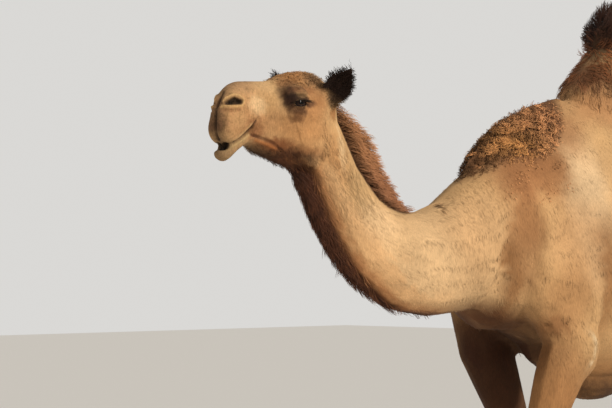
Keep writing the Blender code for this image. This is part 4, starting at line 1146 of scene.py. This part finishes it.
def finished_skin():
    """The skin over the whole body: thinned, carved, opened at the lids, unwrapped and painted."""
    skin = skin_form()
    thin_out_body(skin)
    finer(skin, of_head)
    put_places(skin.data, soften(places_of(skin.data), edges_of(skin.data), HEAD_ROUNDS))
    finer(skin, lambda places: near(places, EYE, 0.045) | near(places, NOSTRIL, 0.042))
    points = places_of(skin.data)
    cheek = about(told(points), (0.277, 0.073, 1.862), (0.020, 0.030, 0.034))[:, None]
    points = soften(points, edges_of(skin.data), CHEEK_ROUNDS, cheek)
    put_places(skin.data, points)
    colours = coat_colours(told(points), side_of(points))
    for name, tone in BED_TONES.items():
        colours = laid_over(colours, tone, in_mass(name, points) * 0.9)
    carve(skin, FACE_FOLDS.values(), lambda places: (places[:, 0] < 0.56) & (places[:, 2] > 1.70))
    carve(skin, list(BODY_FOLDS.values()) + RIBS, lambda places: places[:, 0] > 0.36)
    points = places_of(skin.data)
    put_places(skin.data, points - normals_of(skin.data) * coat_depth(told(points))[:, None])
    open_lids(skin)
    smooth(skin)
    unwrap(skin)
    paint(skin.data, colours)
    return skin


skin = finished_skin()
settle(skin, HIDE, "trunk", *FLESH)

# ---------------------------------------------------------------- where hair grows: a share for each triangle
ground = Ground(skin)
here = ground.places
back_of, up_of = here[:, 0], here[:, 2]
facing = ground.facing * sided(ground.side)
ears = ear_share(here)
head_hair = (of_head(here) & (back_of < HEAD_END)) * (1 - ears)
bald = (near(here, EYE, 0.05) & (lid_share(here) < 1.25)).astype(float)
for fold in ("nostril", "nostril corner", "mouth", "lip hollow"):
    bald = np.maximum(bald, distance_to(here, FACE_FOLDS[fold][0])[0] < 0.0065)
soles = up_of < 0.012
furred = (1 - bald) * (~soles)

masses = {name: in_mass(name, ground.centres) for name in HAIR_DEPTHS}
patchy = noise_at(here, 22.0, 0)
masses["shoulder_wool"] = masses["shoulder_wool"] * (1 - 0.92 * ease(back_of + 0.10 * patchy, 1.37, 1.50))
covered = np.maximum.reduce(list(masses.values()))

# ---------------------------------------------------------------- short hair over the body
# piece: (where it grows, tufts to the square metre, seed)
PARTS = {
    "coat_neck": ((back_of >= HEAD_END) & (back_of < 1.13) & (up_of > 1.20), 15500, 11),
    "coat_shoulders": ((back_of >= 1.13) & (back_of < 1.60) & (up_of > 1.15), 10500, 12),
    "coat_barrel": ((back_of >= 1.60) & (back_of < 2.30) & (up_of > 1.0), 3700, 13),
    "coat_quarters": ((back_of >= 2.30) & (up_of > 1.10), 4300, 14),
    "coat_forelegs": ((back_of < 1.90) & (up_of <= 1.15) & (back_of > 0.9), 5000, 15),
    "coat_hindlegs": ((back_of >= 1.90) & (up_of <= 1.10), 5300, 16),
}
for name, (part, thickness, seed) in PARTS.items():
    tufts = Tufts(name, part * furred * (1 - ears) * (1 - covered) * thickness, seed)
    low = 1 - 0.45 * ease(-tufts.places[:, 2], -1.0, -0.35)
    made = tufts.grow(
        tufts.spread(0.015, 0.027) * low, tufts.spread(0.0014, 0.0025), tufts.spread(1.5, 5.5), tufts.tint,
        flat=0.2, shade=(0.96, 1.04), vary=0.09, even=0.85,
    )
    settle(made, SHORT_HAIR, "trunk")

# ---------------------------------------------------------------- the head's hair
face = Tufts("coat_face", head_hair * furred * (back_of < 0.47) * 38000, 21)
small = 0.36 + 0.64 * ease(face.places[:, 0], 0.08, 0.32)
made = face.grow(
    face.spread(0.008, 0.014) * small, face.spread(0.0010, 0.0017) * small**0.5, face.spread(2.5, 9),
    face.tint, flat=0.3, shade=(0.92, 1.05), vary=0.10, even=0.75,
)
settle(made, SHORT_HAIR, "head")

forehead = about(here, (0.31, 0, 2.025), (0.10, 0.085, 0.045))
curls = Tufts("forehead_curls", head_hair * forehead * 52000, 22, rings=5)
made = curls.grow(
    curls.spread(0.010, 0.021), curls.spread(0.0011, 0.0019), curls.spread(8, 34), curls.tint,
    even=0.5, shade=(0.85, 1.12), curl=0.22, turns=1.3, stray=0.8, tip=0.10, lock=5,
)
settle(made, WOOL, "head")

ear_foot = about(here, (0.402, 0.095, 1.957), (0.024, 0.030, 0.030))
fringe = Tufts("ear_hair", np.maximum(ears, ear_foot) * 76000, 23, rings=4)
from_root = fringe.places - EAR_ROOT
up_ear = from_root @ EAR_AXIS
outwards = unit(from_root - up_ear[:, None] * EAR_AXIS)
fringe.lie = unit((EAR_AXIS * 0.45 + outwards * 0.75) * sided(fringe.side))
fore = np.clip(-(outwards @ (0.7, 0.7, 0.0)), 0, 1)
far_out = 1 + 0.30 * ease(up_ear, 0.045, 0.085) + 0.7 * fore * ease(up_ear, 0.035, 0.070)
made = fringe.grow(
    fringe.spread(0.007, 0.014) * far_out, fringe.spread(0.0012, 0.0022), fringe.spread(8, 30), fringe.tint,
    curl=0.08, stray=0.35,
)
settle(made, LONG_HAIR, "ear_left")

# ---------------------------------------------------------------- mane, throat and side of the neck
mane = Tufts("mane_hair", masses["mane"] * 70000, 24, rings=5)
mane.steer((0.85, 0.12, 0.10), 0.5)
shorter = 1 - 0.4 * ease(mane.places[:, 0], 0.50, 0.90)
tone = laid_over(linear((174, 121, 80)), (158, 107, 73), ease(-mane.places[:, 2], -1.84, -1.70))
made = mane.grow(
    mane.spread(0.040, 0.075) * shorter, mane.spread(0.0013, 0.0024),
    mane.spread(12, 40) + 28 * (mane.spread(0, 1) < 0.14), tone,
    sag=0.06, curl=mane.spread(0.02, 0.10), turns=0.9, stray=0.40, shade=(0.40, 1.40), lock=10, hold=0.55,
    vary=0.20, even=0.25,
)
settle(made, LONG_HAIR, "mane", "mane")

beard = Tufts("throat_hair", masses["beard"] * 108000, 25, rings=5)
shorter = 1 - 0.35 * ease(beard.places[:, 0], 0.45, 0.95)
made = beard.grow(
    beard.spread(0.034, 0.062) * shorter, beard.spread(0.0012, 0.0023), beard.spread(8, 30),
    beard.tint + linear((84, 46, 28)) * 0.3,
    sag=0.14, curl=beard.spread(0.02, 0.08), turns=0.8, stray=0.3, shade=(0.6, 1.3), lock=9, hold=0.6,
    vary=0.20, motley=0.15, even=0.35,
)
settle(made, LONG_HAIR, "beard", "beard")

under_jaw = (back_of > 0.12) & (back_of < 0.36) & (up_of < 1.815) & (up_of > 1.70) & (facing[:, 2] < -0.35)
chin = Tufts("jaw_hair", under_jaw * (1 - covered) * 26000, 26, rings=5)
made = chin.grow(
    chin.spread(0.012, 0.026), chin.spread(0.0011, 0.0019), chin.spread(14, 36), chin.tint * 0.85,
    sag=0.15, curl=0.08, stray=0.5, shade=(0.75, 1.1), lock=6, even=0.4,
)
settle(made, LONG_HAIR, "jaw")

behind = neck_share(here)[1]
on_neck = (back_of > 0.36) & (back_of < 1.10) & (up_of > 1.20) & (up_of < 1.97) & (behind > -0.10)
on_side = on_neck * (here[:, 1] > 0.03) * ease(up_of, 1.56, 1.66)
on_side = on_side * (1 - ease(back_of + (up_of - 1.75), 0.44, 0.54))
shag = Tufts("neck_shag", on_side * (1 - covered) * 34000, 27, rings=4)
made = shag.grow(
    shag.spread(0.020, 0.036), shag.spread(0.0010, 0.0018), shag.spread(3, 10), shag.tint * 1.10,
    flat=0.3, curl=0.04, stray=0.22, shade=(0.86, 1.08), lock=9, motley=0.10, even=0.6,
)
settle(made, LONG_HAIR, "neck_upper")

# ---------------------------------------------------------------- wool on the withers
strewn = about(here, (1.29, 0.14, 1.79), (0.15, 0.13, 0.12)) * ease(patchy, 0.12, 0.32) * (1 - covered)
wool = Tufts("withers_wool", masses["shoulder_wool"] * 36000 + strewn * 12000, 28, rings=5)
wool_back, wool_up = wool.places[:, 0], wool.places[:, 2]
lead = np.exp(-(((wool_back - 1.05 - 0.65 * np.clip(wool_up - 1.72, 0, 1)) / 0.075) ** 2)) * (wool_up < 2.0)
gold = np.exp(-(((wool.places - (1.235, 0.12, 1.86)) / (0.10, 0.12, 0.075)) ** 2).sum(1))
tone = laid_over(linear((208, 148, 100)), (44, 27, 21), 0.95 * lead)
tone = laid_over(tone, (222, 158, 86), 0.75 * gold)
thatch = 0.55 + 0.45 * ease(wool_up, 1.74, 1.90)
thin = 1 - extent("shoulder_wool", wool.places) + ease(wool_back, 1.42, 1.50)
made = wool.grow(
    wool.spread(0.017, 0.035) * thatch * (1 + 0.5 * lead) * (1 - 0.45 * np.minimum(thin, 1)),
    wool.spread(0.0016, 0.0032), wool.spread(16, 62), tone,
    curl=0.30, turns=1.4, stray=0.9, shade=(0.42, 1.38), vary=0.14, lock=22, hold=0.72, motley=0.48,
    even=0.35,
)
settle(made, WOOL, "shoulder_wool", "shoulder_wool")

# ---------------------------------------------------------------- hump and tail
hump = Tufts("hump_hair_locks", masses["hump_hair"] * 24000, 29, rings=4)
hump.steer((0.15, 0.10, 0.95), 0.55)
hump_back, hump_up = hump.places[:, 0], hump.places[:, 2]
tone = laid_over(linear((164, 100, 60)), (54, 31, 21), ease(hump_up, 2.14, 2.24))
front_end = 1 - 0.5 * (1 - ease(hump_back, 1.72, 1.88)) * (1 - ease(hump_up, 2.20, 2.30))
made = hump.grow(
    hump.spread(0.045, 0.080) * front_end, hump.spread(0.0020, 0.0036), hump.spread(14, 50), tone,
    sag=0.04, curl=hump.spread(0.03, 0.12), turns=0.9, stray=0.4, shade=(0.6, 1.3), vary=0.12, lock=18,
    hold=0.55, motley=0.28, even=0.35,
)
settle(made, LONG_HAIR, "hump_hair", "hump_hair")

skirt = ease(up_of, 1.98, 2.06) * (back_of > 1.60) * (back_of < 2.60) * (1 - covered)
shaggy = Tufts("hump_shag", skirt * 11500, 31, rings=4)
front = (1 - ease(shaggy.places[:, 0], 1.66, 1.82)) * 0.7
brown = laid_over(linear((152, 94, 56)), (124, 75, 46), front)
high = ease(shaggy.places[:, 2], 2.02, 2.14)[:, None]
made = shaggy.grow(
    shaggy.spread(0.026, 0.050), shaggy.spread(0.0018, 0.0034), shaggy.spread(8, 26),
    shaggy.tint * (1 - high) + brown * high,
    sag=0.08, curl=0.08, stray=0.5, shade=(0.70, 1.15), vary=0.12, lock=18, hold=0.55, motley=0.25, even=0.5,
)
settle(made, LONG_HAIR, "hump")

brush = Tufts("tail_brush", masses["tail_tuft"] * 50000, 30, rings=6)
brush.steer((0.0, 0.0, -1.0), 0.85)
made = brush.grow(
    brush.spread(0.05, 0.10), brush.spread(0.003, 0.005), brush.spread(3, 12), linear((52, 33, 24)),
    sag=0.1, curl=0.03, turns=1.0, stray=0.12,
)
settle(made, LONG_HAIR, "tail_tuft", "tail_tuft")


# ---------------------------------------------------------------- eyes, lids, lashes and nails
def eyeball(name, side):
    """A ball whose pole looks along the gaze, with its iris, its pupil and the bulge over them."""
    bpy.ops.object.select_all(action="DESELECT")
    bpy.ops.mesh.primitive_uv_sphere_add(segments=48, ring_count=32, radius=1)
    ball = bpy.context.object
    ball.name = name
    out = places_of(ball.data)
    back, up = lid_axes()
    ahead = out[:, 2]
    spread = np.hypot(out[:, 0], out[:, 1])
    bulge = 1 + 0.045 * ease(ahead, 0.70, 0.95)
    iris = ease(-spread, -0.66, -0.62) * (ahead > 0)
    pupil = ease(-np.hypot(out[:, 0] / 0.36, out[:, 1] / 0.17), -1.15, -0.9) * (ahead > 0)
    iris_tone = laid_over(linear((52, 32, 20)), (18, 12, 9), ease(spread, 0.30, 0.62))
    colours = np.tile(linear((40, 28, 22)), (len(out), 1))
    colours = colours * (1 - iris[:, None]) + iris_tone * iris[:, None]
    colours = laid_over(colours, (8, 7, 8), pupil)
    places = EYE_SEAT + (out * (EYE_SIZE * bulge)[:, None]) @ np.column_stack((back, up, GAZE)).T
    places[:, 1] *= side
    put_places(ball.data, places + FROM_NOSE)
    fix_facing(ball)
    paint(ball.data, colours)
    smooth(ball)
    return ball


def lid_line(count, part):
    """Points round the opening on the eyeball: part is 1 for the upper lid, -1 for the lower, 0 for both."""
    back, up = lid_axes()
    if part == 0:
        angles = np.linspace(0, 2 * math.pi, count, endpoint=False)
    else:
        angles = np.linspace(math.pi, 0, count) * part
    along = LID_LENGTH * np.cos(angles)
    across = np.sin(angles) * np.where(np.sin(angles) > 0, LID_TOP, LID_DROP)
    flat = back * along[:, None] + up * across[:, None]
    ahead = np.sqrt(np.maximum(EYE_SIZE**2 - (flat**2).sum(1), 0))
    return EYE_SEAT + flat + GAZE * ahead[:, None]


# how many steps run round the opening, and how many sides the rim has
RIM_STEPS, RIM_SIDES = 72, 8


def lid_rim(name, side):
    """The dark wet edge of the lids, a ring that lies on the eyeball."""
    line = lid_line(RIM_STEPS, 0)
    vertices = []
    for i, spot in enumerate(line):
        ahead = unit(line[(i + 1) % RIM_STEPS] - line[i - 1])
        out = unit(spot - EYE_SEAT)
        wide = np.cross(ahead, out)
        for k in range(RIM_SIDES):
            turn = 2 * math.pi * k / RIM_SIDES
            vertices.append(spot + out * (0.0012 + 0.0017 * math.sin(turn)) + wide * 0.0021 * math.cos(turn))
    vertices = np.array(vertices)
    vertices[:, 1] *= side
    faces = []
    for i in range(RIM_STEPS):
        this, following = i * RIM_SIDES, (i + 1) % RIM_STEPS * RIM_SIDES
        for k in range(RIM_SIDES):
            beside = (k + 1) % RIM_SIDES
            faces.append((this + k, this + beside, following + beside, following + k))
    mesh = bpy.data.meshes.new(name)
    mesh.from_pydata((vertices + FROM_NOSE).tolist(), [], faces)
    thing = new_thing(name, mesh)
    fix_facing(thing)
    paint(thing.data, np.tile(linear((30, 20, 16)), (len(vertices), 1)))
    smooth(thing)
    return thing


# rows of lashes on each eye: (1 on the upper lid or -1 on the lower, how many, length, droop)
LASH_ROWS = ((1, 46, 0.026, 0.25), (1, 40, 0.020, 0.05), (-1, 30, 0.011, -0.4))


def lashes():
    """Long lashes: two rows on each upper lid and one short row on each lower."""
    draw = np.random.default_rng(41)
    back, up = lid_axes()
    roots, ways, lengths, flips = [], [], [], []
    for side in (-1, 1):
        for part, count, long, droop in LASH_ROWS:
            line = lid_line(count, part)[2:-1]
            line = line + draw.normal(0, 0.0005, line.shape)
            for spot in line:
                out = unit(spot - EYE_SEAT)
                fan = ((spot - EYE_SEAT) @ back) / LID_LENGTH
                way = out * 0.75 + back * (0.35 + 0.55 * fan) - up * droop * part
                ways.append(unit(way + draw.normal(0, 0.10, 3)))
                lengths.append(long * draw.uniform(0.75, 1.1) * (0.75 + 0.35 * (fan + 1) / 2))
                roots.append(spot + out * 0.0010)
                flips.append((1, side, 1))
    # these tufts are rooted on the lids, where the others are rooted on the skin
    strands = Tufts.__new__(Tufts)
    strands.name, strands.rings, strands.draw = "eyelashes", 5, draw
    strands.count = len(roots)
    strands.root = np.array(roots) * flips + FROM_NOSE
    strands.lie = np.array(ways) * flips
    strands.normal = unit(np.cross(np.cross(strands.lie, np.array([0, 0, 1.0])), strands.lie))
    strands.spot = np.full((len(roots), 2), 0.5)
    return strands.grow(
        np.array(lengths), 0.0009, 12, linear((24, 17, 14)),
        sag=0.15, curl=0.0, stray=0.02, flat=0.9, vary=0.05, sink=0.0,
    )


for side, sign in (("left", -1), ("right", 1)):
    settle(eyeball(f"eyeball_{side}", sign), EYE_GLOSS, f"eye_{side}", f"eye_{side}")
    settle(lid_rim(f"lid_rim_{side}", sign), EYE_GLOSS, f"eye_{side}")
settle(lashes(), LONG_HAIR, "eye_left")

nails = remeshed(join("toe_nails", [node_form(name) for name in NAILS]), NAIL_VOXEL)
put_places(nails.data, soften(places_of(nails.data), edges_of(nails.data), NAIL_ROUNDS))
smooth(nails)
paint(nails.data, np.tile(linear((74, 58, 46)), (len(nails.data.vertices), 1)))
settle(nails, HORN, "foreleg_left_nail_inner", *NAILS)


# ---------------------------------------------------------------- floor, light and camera
def floor():
    bpy.ops.object.select_all(action="DESELECT")
    bpy.ops.mesh.primitive_plane_add(size=60, location=(0, 0, -0.0005))
    ground_plane = bpy.context.object
    ground_plane.name = "studio_floor"
    material = bpy.data.materials.new("pale floor")
    material.use_nodes = True
    surface = material.node_tree.nodes["Principled BSDF"]
    surface.inputs["Base Color"].default_value = (0.80, 0.78, 0.75, 1)
    surface.inputs["Roughness"].default_value = 0.9
    ground_plane.data.materials.append(material)


def lamp(name, place, aim, size, power, colour):
    light = bpy.data.lights.new(name, "AREA")
    light.shape = "DISK"
    light.size = size
    light.energy = power
    light.color = colour
    thing = new_thing(name, light)
    thing.visible_glossy = False
    thing.location = place
    thing.rotation_mode = "QUATERNION"
    thing.rotation_quaternion = (Vector(aim) - Vector(place)).to_track_quat("-Z", "Y")


def sun(name, toward, power, angle, colour):
    light = bpy.data.lights.new(name, "SUN")
    light.energy = power
    light.angle = math.radians(angle)
    light.color = colour
    thing = new_thing(name, light)
    thing.rotation_mode = "QUATERNION"
    thing.rotation_quaternion = Vector(toward).to_track_quat("Z", "Y")


floor()
sun("key", (0.08, -0.89, 0.44), 2.55, 7, (1.0, 0.95, 0.87))
lamp("fill", (-7.0, -1.5, 3.0), (-0.5, 0, 1.4), 4.0, 22, (1.0, 0.97, 0.93))
bpy.context.scene.view_settings.view_transform = "Standard"


def studio_air():
    """Pale air behind the model, and a softer light from all round."""
    world = bpy.data.worlds.new("studio")
    bpy.context.scene.world = world
    world.use_nodes = True
    tree = world.node_tree
    around = tree.nodes["Background"]
    around.inputs["Color"].default_value = (1.0, 0.965, 0.91, 1)
    around.inputs["Strength"].default_value = 0.38
    seen = node(tree, "ShaderNodeBackground", Color=(0.70, 0.69, 0.67, 1), Strength=1.0)
    path = tree.nodes.new("ShaderNodeLightPath")
    mix = tree.nodes.new("ShaderNodeMixShader")
    tree.links.new(path.outputs["Is Camera Ray"], mix.inputs["Fac"])
    tree.links.new(around.outputs["Background"], mix.inputs[1])
    tree.links.new(seen.outputs["Background"], mix.inputs[2])
    tree.links.new(mix.outputs["Shader"], tree.nodes["World Output"].inputs["Surface"])


studio_air()

CAMERA_DISTANCE, CAMERA_HEIGHT = 7.5, 1.5
# how far right of the nose the camera stands, and how steeply it looks up
CAMERA_ASIDE, CAMERA_SLOPE = 0.2632, 0.0180392157
look = bpy.data.cameras.new("camera")
look.lens, look.sensor_width = 150, 36
look.clip_end = 200
camera = new_thing("camera", look)
back = Vector((-1, -1, 0)).normalized()
right = Vector((1, -1, 0)).normalized()
place = Vector(FROM_NOSE) + back * CAMERA_DISTANCE + right * CAMERA_ASIDE
place.z = CAMERA_HEIGHT
camera.location = place
tip = math.atan(CAMERA_SLOPE)
camera.rotation_mode = "QUATERNION"
camera.rotation_quaternion = (-back * math.cos(tip) + Vector((0, 0, math.sin(tip)))).to_track_quat("-Z", "Y")
bpy.context.scene.camera = camera
